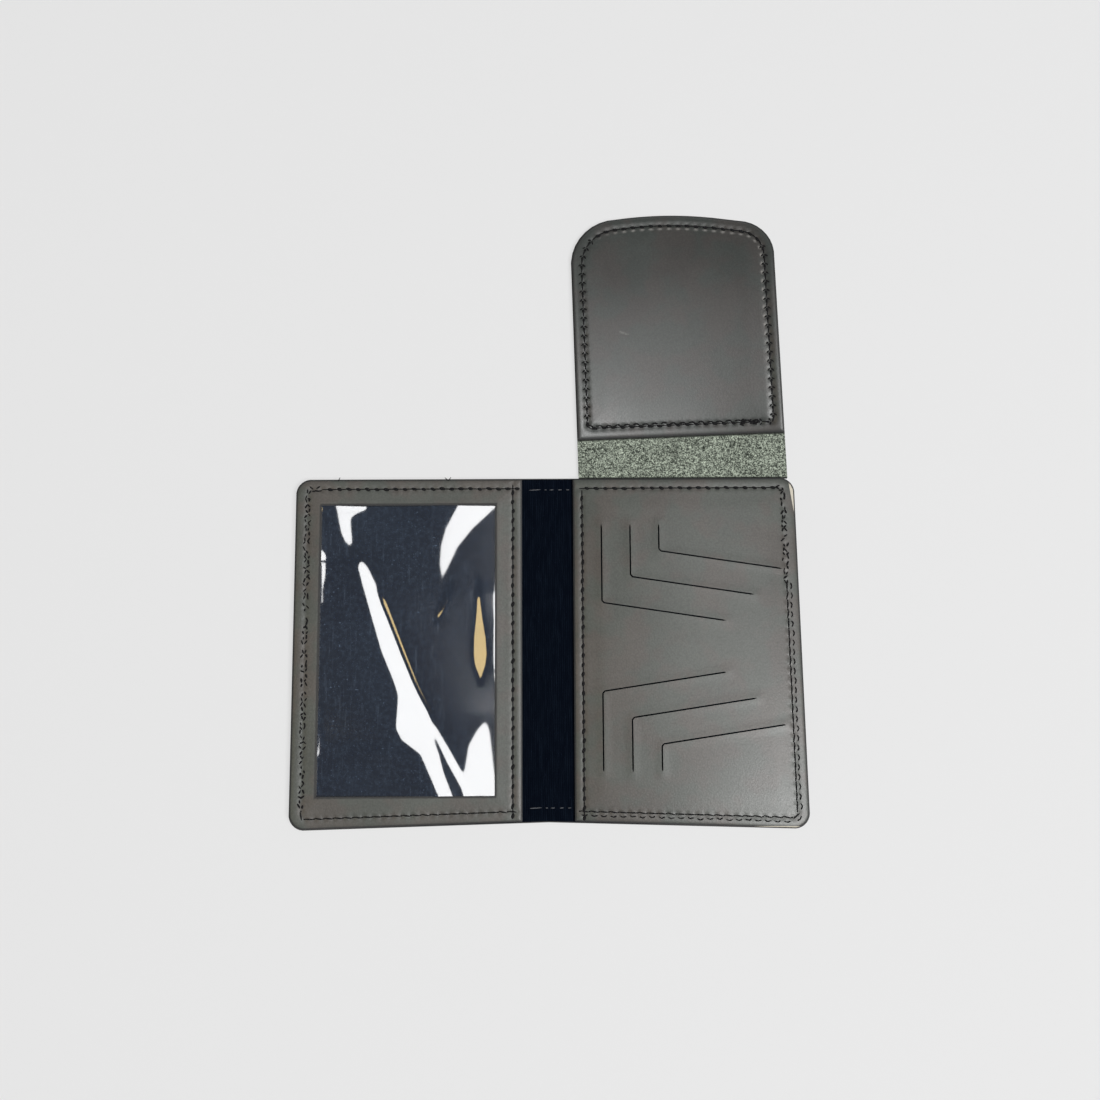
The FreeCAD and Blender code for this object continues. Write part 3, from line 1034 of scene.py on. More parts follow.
    def piece(self, name: str, top: Finish, under: Finish, rim: Finish) -> bpy.types.Object:
        """Makes the object and paints its top, underside and rim.

        Args:
            name: The object's name.
            top: Finish of the faces that look up.
            under: Finish of the faces that look down.
            rim: Finish of the cut edges.

        Returns:
            The finished object.
        """
        for face in self.bm.faces:
            up = face.normal.z
            face.material_index = 0 if up > self.FACING else 1 if up < -self.FACING else 2
            face.smooth = True
        made = new_object(name, self.bm, (top, under, rim))
        made.data.set_sharp_from_angle(angle=self.SHARP)
        return made


def new_object(name: str, bm: bmesh.types.BMesh, finishes: Sequence[Finish]) -> bpy.types.Object:
    """Turns a bmesh into an object of the scene.

    Args:
        name: The object's name.
        bm: The mesh, which is freed.
        finishes: Finishes in the order of the faces' numbers.

    Returns:
        The object.
    """
    mesh = bpy.data.meshes.new(name)
    bm.to_mesh(mesh)
    bm.free()
    for finish in finishes:
        mesh.materials.append(finish.material())
    made = bpy.data.objects.new(name, mesh)
    bpy.context.scene.collection.objects.link(made)
    return made


def hand_over(piece: bpy.types.Object, body: str, slot: Slot, *nodes: str) -> None:
    """Parents a rigid piece to its body and hides the nodes that it stands for.

    Args:
        piece: The finished piece.
        body: Body that it moves with.
        slot: Not used.
        *nodes: Nodes that it replaces.
    """
    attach(piece, body)
    if nodes:
        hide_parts(*nodes)
    LOG.info("%s rides on %s", piece.name, body)


def bend_over(piece: bpy.types.Object, bodies: tuple[str, str], ends: Sequence[Sequence[float]],
              slot: Slot, *nodes: str) -> None:
    """Bends a piece from one body over to the next.

    Args:
        piece: The finished piece.
        bodies: The two bodies between which it lies, named in the log.
        ends: Not used.
        slot: Not used.
        *nodes: Nodes that it replaces.
    """
    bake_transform(piece)
    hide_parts(*nodes)
    LOG.info("%s bends from %s to %s", piece.name, *bodies)


class ThreadMesh:
    """Stitches gathered into one mesh, a few at a time because an operator walks all of its mesh."""

    BATCH: int = 24
    PROUD: float = 0.12 * MM
    FLATNESS: float = 0.55
    LIFT: float = 0.3
    ROUND: int = 8
    RINGS: int = 5

    def __init__(self, *seams: Seam) -> None:
        """Notes the stitches of some seams.

        Args:
            *seams: The seams, none for loose stitches.
        """
        self.bm = bmesh.new()
        self.dashes: list[tuple[Vector, Vector, float, float]] = []
        for seam in seams:
            self.row(seam)

    def dash(self, spot: Vector, along: Vector, half_length: float, half_width: float) -> None:
        """Notes one plump bit of thread."""
        self.dashes.append((spot.copy(), along.normalized(), half_length, half_width))

    def lay(self, height: OverPlan, up: float = 1.0) -> None:
        """Makes the noted bits of thread on a surface.

        Args:
            height: Heights of the leather at plan positions.
            up: 1 on top of the leather, -1 below it.
        """
        levels = height(np.array([spot.xy for spot, *_ in self.dashes]))
        for start in range(0, len(self.dashes), self.BATCH):
            batch = bmesh.new()
            batch.loops.layers.uv.new("thread")
            few = slice(start, start + self.BATCH)
            for (spot, axis, half_length, half_width), level in zip(self.dashes[few], levels[few]):
                side = aside_of(axis)
                rise = axis.cross(side)
                turn = Matrix((side, rise, axis)).transposed().to_4x4()
                size = Matrix.Diagonal((half_width, self.FLATNESS * half_width, half_length, 1.0))
                lift = up * (self.LIFT * half_width + self.PROUD)
                place = Matrix.Translation((spot.x, spot.y, level + lift))
                bmesh.ops.create_uvsphere(batch, u_segments=self.ROUND, v_segments=self.RINGS, radius=1.0,
                                          matrix=place @ turn @ size, calc_uvs=True)
            part = bpy.data.meshes.new("part")
            batch.to_mesh(part)
            batch.free()
            self.bm.from_mesh(part)
            bpy.data.meshes.remove(part)
        self.dashes.clear()

    def row(self, seam: Seam) -> None:
        """Notes all stitches of one seam.

        Args:
            seam: The seam.
        """
        chance = random.Random(seam.style.seed)
        for index in range(seam.count):
            hole = seam.path.at(index * seam.step)
            middle = seam.path.at((index + 0.5) * seam.step)
            stitch = STITCHES[seam.style.way((index + 0.5) / seam.count)]
            stitch.note(self, StitchPlace(*hole, *middle, seam.step, seam.style.loop), chance)

    def piece(self, name: str, finish: Finish) -> bpy.types.Object:
        """Makes the object.

        Args:
            name: The object's name.
            finish: Finish of the thread.

        Returns:
            The finished object.
        """
        for face in self.bm.faces:
            face.smooth = True
        return new_object(name, self.bm, (finish,))

    def sew(self, name: str, body: str, height: OverPlan, *nodes: str, up: float = 1.0) -> None:
        """Lays the noted stitches on a surface and hands them over as one piece.

        Args:
            name: The piece's name.
            body: Body that it moves with.
            height: Heights of the leather at plan positions.
            *nodes: Nodes that it replaces.
            up: 1 on top of the leather, -1 below it.
        """
        self.lay(height, up)
        hand_over(self.piece(name, BLACK_THREAD), body, Slot.THREAD, *nodes)


@dataclass(frozen=True)
class StitchPlace:
    """Where a stitch lies: its hole, the middle of the way to the next one, and its seam's sizes."""

    hole: Vector
    along: Vector
    middle: Vector
    run: Vector
    step: float
    loop: float


class Stitch(ABC):
    """One kind of stitch, made of a few bits of thread."""

    @abstractmethod
    def note(self, thread: ThreadMesh, place: StitchPlace, chance: random.Random) -> None:
        """Notes the bits of one stitch.

        Args:
            thread: Mesh that gathers the thread.
            place: Where the stitch lies.
            chance: Source of its unevenness.
        """

    @staticmethod
    def turned(along: Vector, chance: random.Random, mean: float, spread: float) -> Vector:
        """Turns a direction by about an angle."""
        return Matrix.Rotation(math.radians(chance.gauss(mean, spread)), 3, "Z") @ along


@dataclass(frozen=True)
class NeatStitch(Stitch):
    """A plump stitch end in its hole, and the thin thread to the next one."""

    sway: float = 0.05 * MM
    lean: Pair = (-13.0, 6.0)
    half_length: Pair = (0.72 * MM, 0.95 * MM)
    half_width: Pair = (0.42 * MM, 0.5 * MM)
    link_gap: float = 0.3 * MM
    link_width: float = 0.17 * MM

    def note(self, thread: ThreadMesh, place: StitchPlace, chance: random.Random) -> None:
        """Notes the end and the link.

        Args:
            thread: Mesh that gathers the thread.
            place: Where the stitch lies.
            chance: Source of its unevenness.
        """
        spot = place.hole + aside_of(place.along) * chance.gauss(0.0, self.sway)
        thread.dash(spot, self.turned(place.along, chance, *self.lean), chance.uniform(*self.half_length),
                    chance.uniform(*self.half_width))
        thread.dash(place.middle, place.run, place.step / 2.0 - self.link_gap, self.link_width)


@dataclass(frozen=True)
class ThinStitch(Stitch):
    """A long flat stitch, a little askew."""

    lean: Pair = (-6.0, 3.5)
    share: float = 0.45
    half_width: float = 0.21 * MM
    hole_size: Pair = (0.3 * MM, 0.2 * MM)

    def note(self, thread: ThreadMesh, place: StitchPlace, chance: random.Random) -> None:
        """Notes the stitch and its hole.

        Args:
            thread: Mesh that gathers the thread.
            place: Where the stitch lies.
            chance: Source of its unevenness.
        """
        thread.dash(place.middle, self.turned(place.run, chance, *self.lean), place.step * self.share,
                    self.half_width)
        thread.dash(place.hole, place.along, *self.hole_size)


@dataclass(frozen=True)
class ChevronStitch(Stitch):
    """A stitch whose hole is torn open to both sides."""

    arm_out: Pair = (0.85, 1.1)
    arm_back: Pair = (0.5, 0.95)
    arm_aside: float = 0.62 * MM
    arm_behind: float = 0.12 * MM
    arm_length: Pair = (0.5 * MM, 0.7 * MM)
    arm_width: Pair = (0.19 * MM, 0.27 * MM)
    tail_behind: float = 0.75 * MM
    tail_lean: Pair = (0.0, 12.0)
    tail_size: Pair = (0.55 * MM, 0.34 * MM)
    link_lean: Pair = (0.0, 4.0)
    link_share: float = 0.42
    link_width: float = 0.2 * MM

    def note(self, thread: ThreadMesh, place: StitchPlace, chance: random.Random) -> None:
        """Notes the two arms, the tail and the link.

        Args:
            thread: Mesh that gathers the thread.
            place: Where the stitch lies.
            chance: Source of its unevenness.
        """
        aside = aside_of(place.along)
        back = -math.copysign(1.0, place.along.y) * place.along
        for sign in (-1.0, 1.0):
            arm = aside * sign * chance.uniform(*self.arm_out) + back * chance.uniform(*self.arm_back)
            spot = place.hole + aside * sign * self.arm_aside + back * self.arm_behind
            thread.dash(spot, arm, chance.uniform(*self.arm_length), chance.uniform(*self.arm_width))
        tail = place.hole + back * self.tail_behind
        thread.dash(tail, self.turned(place.along, chance, *self.tail_lean), *self.tail_size)
        thread.dash(place.middle, self.turned(place.run, chance, *self.link_lean),
                    place.step * self.link_share, self.link_width)


@dataclass(frozen=True)
class DoubleStitch(Stitch):
    """Two crowded, crooked rows side by side."""

    lean: float = 24.0
    lean_spread: float = 16.0
    apart: float = 0.48 * MM
    sway: float = 0.16 * MM
    slip: float = 0.25 * MM
    kept: float = 0.85
    half_length: Pair = (0.45 * MM, 0.8 * MM)
    half_width: Pair = (0.18 * MM, 0.3 * MM)

    def note(self, thread: ThreadMesh, place: StitchPlace, chance: random.Random) -> None:
        """Notes the bits of both rows, of which a few are missing.

        Args:
            thread: Mesh that gathers the thread.
            place: Where the stitch lies.
            chance: Source of its unevenness.
        """
        for spot, run, lean in ((place.hole, place.along, self.lean), (place.middle, place.run, -self.lean)):
            aside = aside_of(run)
            for sign in (-1.0, 1.0):
                where = spot + aside * (sign * self.apart + chance.gauss(0.0, self.sway))
                where += run * chance.gauss(0.0, self.slip)
                if chance.random() < self.kept:
                    thread.dash(where, self.turned(run, chance, lean * sign, self.lean_spread),
                                chance.uniform(*self.half_length), chance.uniform(*self.half_width))


@dataclass(frozen=True)
class LoopedStitch(Stitch):
    """A stitch with a slack loop of thread beside it, thin where the loop lies on the outer side."""

    sway: float = 0.08 * MM
    lean: float = 22.0
    lean_spread: float = 6.0
    apart: float = 0.42 * MM
    half_length: float = 0.58 * MM
    half_width: Pair = (0.22 * MM, 0.32 * MM)
    thinner: float = 0.7

    def note(self, thread: ThreadMesh, place: StitchPlace, chance: random.Random) -> None:
        """Notes the stitch and the two arms of its loop.

        Args:
            thread: Mesh that gathers the thread.
            place: Where the stitch lies.
            chance: Source of its unevenness.
        """
        thick = place.loop > 0.0
        STITCHES[Sewing.NEAT if thick else Sewing.THIN].note(thread, place, chance)
        loop = place.middle + aside_of(place.run) * (place.loop + chance.gauss(0.0, self.sway))
        bend = math.copysign(1.0, place.loop)
        for sign in (-1.0, 1.0):
            arm = self.turned(place.run, chance, -self.lean * sign * bend, self.lean_spread)
            width = chance.uniform(*self.half_width) * (1.0 if thick else self.thinner)
            thread.dash(loop + place.run * sign * self.apart, arm, self.half_length, width)


STITCHES: dict[Sewing, Stitch] = {
    Sewing.NEAT: NeatStitch(), Sewing.THIN: ThinStitch(), Sewing.CHEVRON: ChevronStitch(),
    Sewing.DOUBLE: DoubleStitch(), Sewing.LOOPED: LoopedStitch()}


@dataclass
class Plan:
    """Places that the sub-assemblies share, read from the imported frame."""

    foot_drop: float = 2.2 * MM
    corner: float = 4.5 * MM
    lean_top: float = -1.3 * MM
    lean_foot: float = 0.4 * MM
    spacing: float = 0.55 * MM

    def __post_init__(self) -> None:
        """Reads the joints' places."""
        self.joints = {joint["name"]: Vector(joint["pos_m"]) for joint in frame["joints"]}

    def half(self, side: Side, node: str, inner: float) -> Outline:
        """Draws the outline of one half's layer.

        Args:
            side: Which half.
            node: Node whose box gives the outer edge and the top.
            inner: Distance of the layer's inner edge from the middle of the spine.

        Returns:
            The outline, anticlockwise.
        """
        low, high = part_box(node)
        spine_low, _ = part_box("spine_cover" if node.startswith("cover") else "spine_lining")
        top = min(high[1], -spine_low[1])
        foot = spine_low[1]
        if side is Side.CARD:
            outer = high[0]
            return Outline(((inner, foot, 0.0), (outer + self.lean_foot, foot - self.foot_drop, self.corner),
                            (outer + self.lean_top, top, self.corner), (inner, top, 0.0)))
        outer = low[0]
        return Outline(((outer, foot - self.foot_drop, self.corner), (-inner, foot, 0.0),
                        (-inner, top, 0.0), (outer, top, self.corner)))


def corners_of(outline: Outline) -> list[Pair]:
    """Gives an outline's corners without their radii."""
    return [(x, y) for x, y, _ in outline.corners]


@dataclass
class EdgeSeams:
    """The seams of one half: round its three outer edges, and beside the spine."""

    side: Side
    outer_inset: float = 3.5 * MM
    foot_inset: float = 2.9 * MM
    top_inset: float = 3.0 * MM
    end_gap: float = 1.4 * MM
    inner_inset: float = 2.7 * MM
    loop: float = -1.15 * MM

    def round_edge(self, outline: Outline, seed: int, zones: Zones) -> Seam:
        """Draws the seam round the outer edges.

        Args:
            outline: The panel's outline.
            seed: Number that picks the sewing's unevenness.
            zones: How the row lies along its length.

        Returns:
            The seam.
        """
        if self.side is Side.CARD:
            line = outline.inner((self.foot_inset, self.outer_inset, self.top_inset, self.end_gap))
            path = Path.round(line, 0)
        else:
            line = outline.inner((self.foot_inset, self.end_gap, self.top_inset, self.outer_inset))
            path = Path.round(line, 2)
        return Seam(path, Stitching(zones, loop=self.loop, seed=seed))

    def beside_spine(self, outline: Outline, top_gap: float, foot_gap: float, seed: int) -> Seam:
        """Draws the straight seam beside the spine.

        Args:
            outline: The panel's outline.
            top_gap: Distance of its upper end from the panel's top.
            foot_gap: Distance of its lower end from the panel's foot.
            seed: Number that picks the sewing's unevenness.

        Returns:
            The seam.
        """
        inner = outline.corners[0][0] + self.inner_inset
        if self.side is Side.WINDOW:
            inner = outline.corners[1][0] - self.inner_inset
        top = outline.corners[2][1] - top_gap
        foot = outline.corners[0 if self.side is Side.CARD else 1][1] + foot_gap
        return Seam(Path((Vector((inner, foot, 0.0)), Vector((inner, top, 0.0)))), Stitching(seed=seed))


@dataclass
class OuterHide:
    """The one-piece outer hide: two covers that each reach to the middle of the spine, and the flap's back.
    """

    plan: Plan
    bend_out: float = 1.2 * MM
    bend_in: float = 2.6 * MM
    outside_level: float = 0.52 * MM
    flap_lean: float = math.tan(math.radians(1.7))
    flap_crown: float = 4.0 * MM
    left_radius: float = 14.5 * MM
    right_radius: float = 11.0 * MM
    crown_share: float = 0.49
    crown_radius: float = 118.0 * MM
    crown_over: float = 0.75 * MM
    lean_share: float = 0.92
    flap_bend_in: float = 2.6 * MM
    flap_bend_out: float = 2.8 * MM
    cover_paint: float = 0.6 * MM
    strip_painted_shade: float = 0.7 * MM
    pad_painted_shadow: float = 0.85 * MM
    strip_spacing: float = 0.45 * MM
    edge_roll: float = 0.18 * MM
    edge_reach: float = 0.5 * MM
    dent_share: float = 0.8

    def build(self) -> None:
        """Makes the covers, the strip below the flap, and the flap's back."""
        for side in Side:
            self.cover(side)
        self.strip()
        self.flap_back()

    def cover(self, side: Side) -> None:
        """Makes one cover with its share of the spine.

        Args:
            side: Which half.
        """
        name = f"cover_{side.word}"
        outline = self.plan.half(side, name, 0.0)
        whole = self.plan.half(side, name, -self.plan.joints["spine_fold"].x)
        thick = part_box(name)[1][2]
        panel = "card_panel" if side is Side.CARD else "window_frame"
        sewn = self.plan.half(side, panel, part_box("card_panel")[0][0])
        seam = EdgeSeams(side).round_edge(sewn, 21, ((1.0, Sewing.NEAT),))
        sheet = SheetMesh(corners_of(outline), self.plan.spacing)
        sheet.trim(outline.cuts())
        sheet.raise_to(flat(thick))
        sheet.mark("edge", lambda places: fade(whole.depth(places), self.cover_paint))
        sheet.thicken(thick, lambda places: self.back(whole, places, [seam]))
        piece = sheet.piece(f"{name}_hide", COVER_EDGE, HIDE, PANEL_EDGE)
        self.bend(piece, side, Slot.COVER, name, *(("spine_cover",) if side is Side.CARD else ()))
        ThreadMesh(seam).sew(f"{name}_thread", side.body, flat(self.outside_level), up=-1.0)

    def bend(self, piece: bpy.types.Object, side: Side, slot: Slot, *nodes: str) -> None:
        """Passes a piece to bend_over, with where it would leave its half and reach the spine.

        Args:
            piece: The finished piece.
            side: Which half.
            slot: Its material slot in the record.
            *nodes: Nodes that it replaces.
        """
        joint = self.plan.joints[side.joint]
        near = joint + Vector((self.bend_out * side.value, 0.0, 0.0))
        far = joint - Vector((self.bend_in * side.value, 0.0, 0.0))
        bend_over(piece, (side.body, "spine"), (near, far), slot, *nodes)

    def back(self, outline: Outline, places: np.ndarray, seams: Sequence[Seam]) -> np.ndarray:
        """Gives the height of the hide's outside over the table.

        Args:
            outline: The hide's outline.
            places: Plan positions, one row each.
            seams: Seams that pull it in.

        Returns:
            Heights, 0 where it lies on the table.
        """
        depth = outline.depth(places)
        level = self.edge_roll * np.exp(-np.maximum(depth, 0.0) / self.edge_reach)
        for seam in seams:
            level += self.dent_share * seam.dent(places)
        return level

    def flap_side(self, y: float) -> Pair:
        """Gives the flap's left and right edge at a height.

        Args:
            y: Height along the wallet.

        Returns:
            The two places across.
        """
        low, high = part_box("flap_hinge")
        shift = (y - low[1]) * self.flap_lean * self.lean_share
        return low[0] - shift, high[0] - shift

    def flap_outline(self, inset: float, left_foot: float, right_foot: float) -> Outline:
        """Draws the flap's outline.

        Args:
            inset: Distance in from the hide's edge.
            left_foot: Lower end of the left edge.
            right_foot: Lower end of the right edge.

        Returns:
            The outline, anticlockwise.
        """
        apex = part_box("flap_base")[1][1] + self.crown_over - inset
        shoulder = apex - self.flap_crown
        low_left, low_right = self.flap_side(left_foot)[0], self.flap_side(right_foot)[1]
        high_left, high_right = self.flap_side(shoulder)
        top = high_left + (high_right - high_left) * self.crown_share
        return Outline(((low_left + inset, left_foot, 0.0), (low_right - inset, right_foot, 0.0),
                        (high_right - inset, shoulder, self.right_radius), (top, apex, self.crown_radius),
                        (high_left + inset, shoulder, self.left_radius)))

    @property
    def flap_cut(self) -> float:
        """Gives the line halfway between the flap's bends, where the strip ends."""
        return (self.plan.joints["flap_fold"].y + self.plan.joints["badge_fold"].y) / 2.0

    def strip(self) -> None:
        """Makes the short strip of hide between the card half and the flap's first bend."""
        foot = -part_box("spine_cover")[0][1]
        cut = self.flap_cut
        left, right = self.flap_side(foot)
        high_left, high_right = self.flap_side(cut)
        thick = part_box("flap_hinge")[1][2]
        quad = ((left, foot), (right, foot), (high_right, cut), (high_left, cut))
        sheet = SheetMesh(quad, self.strip_spacing)
        sheet.raise_to(flat(thick))
        # Painted shade: the suede is darkened along the strip's foot, beside the card half's top edge.
        sheet.mark("edge", lambda places: fade(places[:, 1] - foot, self.strip_painted_shade))
        sheet.thicken(thick)
        piece = sheet.piece("flap_strip", SUEDE, HIDE, PANEL_EDGE)
        middle = self.plan.joints["flap_fold"].x
        ends = ((middle, foot, 0.0), (middle, cut, 0.0))
        bend_over(piece, ("right_half", "flap_bend"), ends, Slot.SUEDE, "flap_hinge")

    def flap_back(self) -> None:
        """Makes the hide of the flap."""
        foot = self.flap_cut
        outline = self.flap_outline(0.0, foot, foot)
        apex = outline.corners[3][1]
        left, right = self.flap_side(foot)
        high_left, high_right = self.flap_side(apex)
        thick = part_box("flap_base")[1][2]
        quad = ((left, foot), (right, foot), (high_right, apex), (high_left, apex))
        sheet = SheetMesh(quad, self.plan.spacing)
        sheet.trim(outline.cuts()[1:])
        pad = BadgeFlap(self.plan, self)
        seam = pad.seam(22, ((1.0, Sewing.NEAT),))
        sheet.raise_to(flat(thick))
        # Painted shadow: the suede is darkened in a band just outside the pad's edge, where the raised pad
        # would shade it.
        sheet.mark("edge", lambda places: fade(-pad.outline().depth(places), self.pad_painted_shadow))
        sheet.thicken(thick, lambda places: self.dent_share * seam.dent(places))
        piece = sheet.piece("flap_hide", SUEDE, HIDE, PANEL_EDGE)
        joint = self.plan.joints["badge_fold"]
        ends = ((joint.x, joint.y - self.flap_bend_in, 0.0), (joint.x, joint.y + self.flap_bend_out, 0.0))
        bend_over(piece, ("flap_bend", "badge_flap"), ends, Slot.SUEDE, "flap_base")
        ThreadMesh(seam).sew("flap_back_thread", "badge_flap", flat(self.outside_level), up=-1.0)


@dataclass
class BadgeFlap:
    """The flap's leather pad and the seam all round it."""

    plan: Plan
    hide: OuterHide
    inset: float = 0.25 * MM
    left_foot: float = 62.7 * MM
    right_foot: float = 64.9 * MM
    side_inset: float = 3.0 * MM
    top_inset: float = 3.3 * MM
    foot_inset: float = 3.3 * MM
    zones: Zones = (
        (0.24, Sewing.LOOPED), (0.5, Sewing.CHEVRON), (0.74, Sewing.NEAT), (1.0, Sewing.CHEVRON))
    tack: Pair = (0.209, 0.234)
    tack_pitch: float = 1.6 * MM
    scratch: tuple[Pair, ...] = ((22.3 * MM, 96.3 * MM), (24.8 * MM, 95.4 * MM))
    scratch_share: float = 0.35
    scratch_spread: float = 0.45 * MM
    pucker_highlight_least: float = 0.12
    pucker_highlight_gain: float = 0.5
    pucker_highlight_in: float = 0.95 * MM
    pucker_highlight_across: float = 0.6 * MM
    pucker_highlight_along: float = 0.85 * MM
    border_drop: float = 0.14 * MM
    rise: float = 0.1 * MM
    bulge: Pair = (-0.005, 0.0065)
    spacing: float = 0.5 * MM
    thick: float = 0.9 * MM
    groove: float = 0.26 * MM
    groove_spread: float = 1.0 * MM
    hole: float = 0.3 * MM
    hole_spread: float = 0.8 * MM

    def pucker_highlight_and_scratch(self, seam: Seam, outline: Outline, places: np.ndarray) -> np.ndarray:
        """Tells where the leather is painted pale: a painted highlight on the puckers inside the stitches,
        strongest at the top and right, and a pale scratch.

        Args:
            seam: The pad's seam.
            outline: The pad's outline.
            places: Plan positions, one row each.

        Returns:
            Shares between 0 and 1.
        """
        gap, along = seam.path.nearest(places)
        inside = np.where(outline.depth(places) > self.side_inset, gap, -gap)
        phase = seam.phase(along)
        share = along / seam.path.length
        top = smooth(share, 0.25, 0.4) * (1.0 - smooth(share, 0.68, 0.76))
        strength = self.pucker_highlight_least + self.pucker_highlight_gain * top
        painted_pucker_highlight = strength * hump(inside - self.pucker_highlight_in, self.pucker_highlight_across) * hump(phase, self.pucker_highlight_along)
        scratched, _ = Path([Vector((*end, 0.0)) for end in self.scratch]).nearest(places)
        return np.maximum(painted_pucker_highlight, self.scratch_share * hump(scratched, self.scratch_spread))

    def outline(self) -> Outline:
        """Draws the pad's outline."""
        return self.hide.flap_outline(self.inset, self.left_foot, self.right_foot)

    def seam(self, seed: int, zones: Zones) -> Seam:
        """Draws the seam all round the pad.

        Args:
            seed: Number that picks the sewing's unevenness.
            zones: How the row lies along its length.

        Returns:
            The seam.
        """
        line = self.outline().inner(
            (self.foot_inset, self.side_inset, self.top_inset, self.top_inset, self.side_inset))
        return Seam(Path.round(line, 0, True), Stitching(zones, seed=seed), self.groove, self.groove_spread,
                    self.hole, self.hole_spread)

    def build(self) -> None:
        """Makes the pad and its thread."""
        outline = self.outline()
        low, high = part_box("flap_liner")
        seam = self.seam(31, self.zones)
        surface = Surface(outline, high[2] - self.border_drop, self.rise, seed=3.0, seams=[seam],
                          bulge=self.bulge)
        corners = corners_of(outline)
        apex = corners[3][1]
        sides = self.hide.flap_side(apex)
        quad = (corners[0], corners[1], (sides[1] - self.inset, apex), (sides[0] + self.inset, apex))
        sheet = SheetMesh(quad, self.spacing)
        sheet.trim(outline.cuts()[1:])
        sheet.raise_to(surface.height)
        sheet.mark("edge", surface.paint)
        sheet.mark("swell", surface.swell)
        # Notes the painted highlight on the puckers and the pale scratch.
        sheet.mark("pucker_highlight_and_scratch", lambda places: self.pucker_highlight_and_scratch(seam, outline, places))
        sheet.thicken(self.thick, flat(low[2]))
        pad = sheet.piece("flap_pad", SHADED_FLAP_LEATHER, SUEDE, PANEL_EDGE)
        hand_over(pad, "badge_flap", Slot.LEATHER, "flap_liner")
        ends = [seam.path.at(share * seam.path.length)[0] for share in self.tack]
        tack = Seam(Path(ends), Stitching(((1.0, Sewing.DOUBLE),), self.tack_pitch, seed=33))
        ThreadMesh(seam, tack).sew("flap_thread", "badge_flap", surface.height, "flap_seam")


@dataclass
class Lining:
    """The dark cloth on the inside of the hide, and the cloth behind the card panel."""

    plan: Plan
    hide: OuterHide
    crease: float = 0.07 * MM
    crease_size: float = 1.7 * MM
    crease_stretch: float = 0.09
    crease_mean: float = 0.6
    spine_rim: Pair = (6.2 * MM, 7.4 * MM)
    spacing: float = 0.6 * MM
    short_inset: float = 0.4 * MM
    backing_inset: float = 0.3 * MM
    backing_spacing: float = 2.4 * MM
    half_flat: Pair = (75.5 * MM, 103.0 * MM)
    backing_flat: Pair = (67.3 * MM, 103.0 * MM)

    def build(self) -> None:
        """Makes the two halves of the lining and the backing cloth."""
        for side in Side:
            self.half(side)
        self.backing()

    def half(self, side: Side) -> None:
        """Makes one half of the lining with its share of the spine.

        Args:
            side: Which half.
        """
        name = f"lining_{side.word}"
        outline = self.plan.half(side, name, 0.0)
        low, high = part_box(name)
        sheet = SheetMesh(corners_of(outline), self.spacing)
        short = CardPanel(self.plan).short_cuts(self.short_inset) if side is Side.CARD else []
        sheet.trim(outline.cuts() + short)
        sheet.raise_to(lambda places: self.height(places, high[2]))
        sheet.thicken(high[2] - low[2], flat(low[2]))
        piece = sheet.piece(f"{name}_cloth", CLOTH, CLOTH, CLOTH)
        self.hide.bend(piece, side, Slot.LINING, name, *(("spine_lining",) if side is Side.CARD else ()))

    def height(self, places: np.ndarray, top: float) -> np.ndarray:
        """Gives the lining's height, drawn into soft upright creases over the spine.

        Args:
            places: Plan positions, one row each.
            top: Height of the flat cloth.

        Returns:
            Heights over the table.
        """
        stretched = places * np.array([1.0, self.crease_stretch])
        over_spine = 1.0 - smooth(np.abs(places[:, 0]), *self.spine_rim)
        return top - self.crease * over_spine * (self.crease_mean + ripple(stretched, self.crease_size, 7.0))

    def backing(self) -> None:
        """Makes the cloth behind the card panel."""
        low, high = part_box("card_backing")
        outline = self.plan.half(Side.CARD, "card_panel", low[0])
        outline = outline.inner([self.backing_inset] * len(outline.corners))
        sheet = SheetMesh(corners_of(outline), self.backing_spacing)
        sheet.trim(outline.cuts() + CardPanel(self.plan).short_cuts(self.short_inset))
        sheet.raise_to(flat(high[2]))
        sheet.thicken(high[2] - low[2])
        piece = sheet.piece("backing_cloth", CLOTH, CLOTH, CLOTH)
        hand_over(piece, "right_half", Slot.LINING, "card_backing")


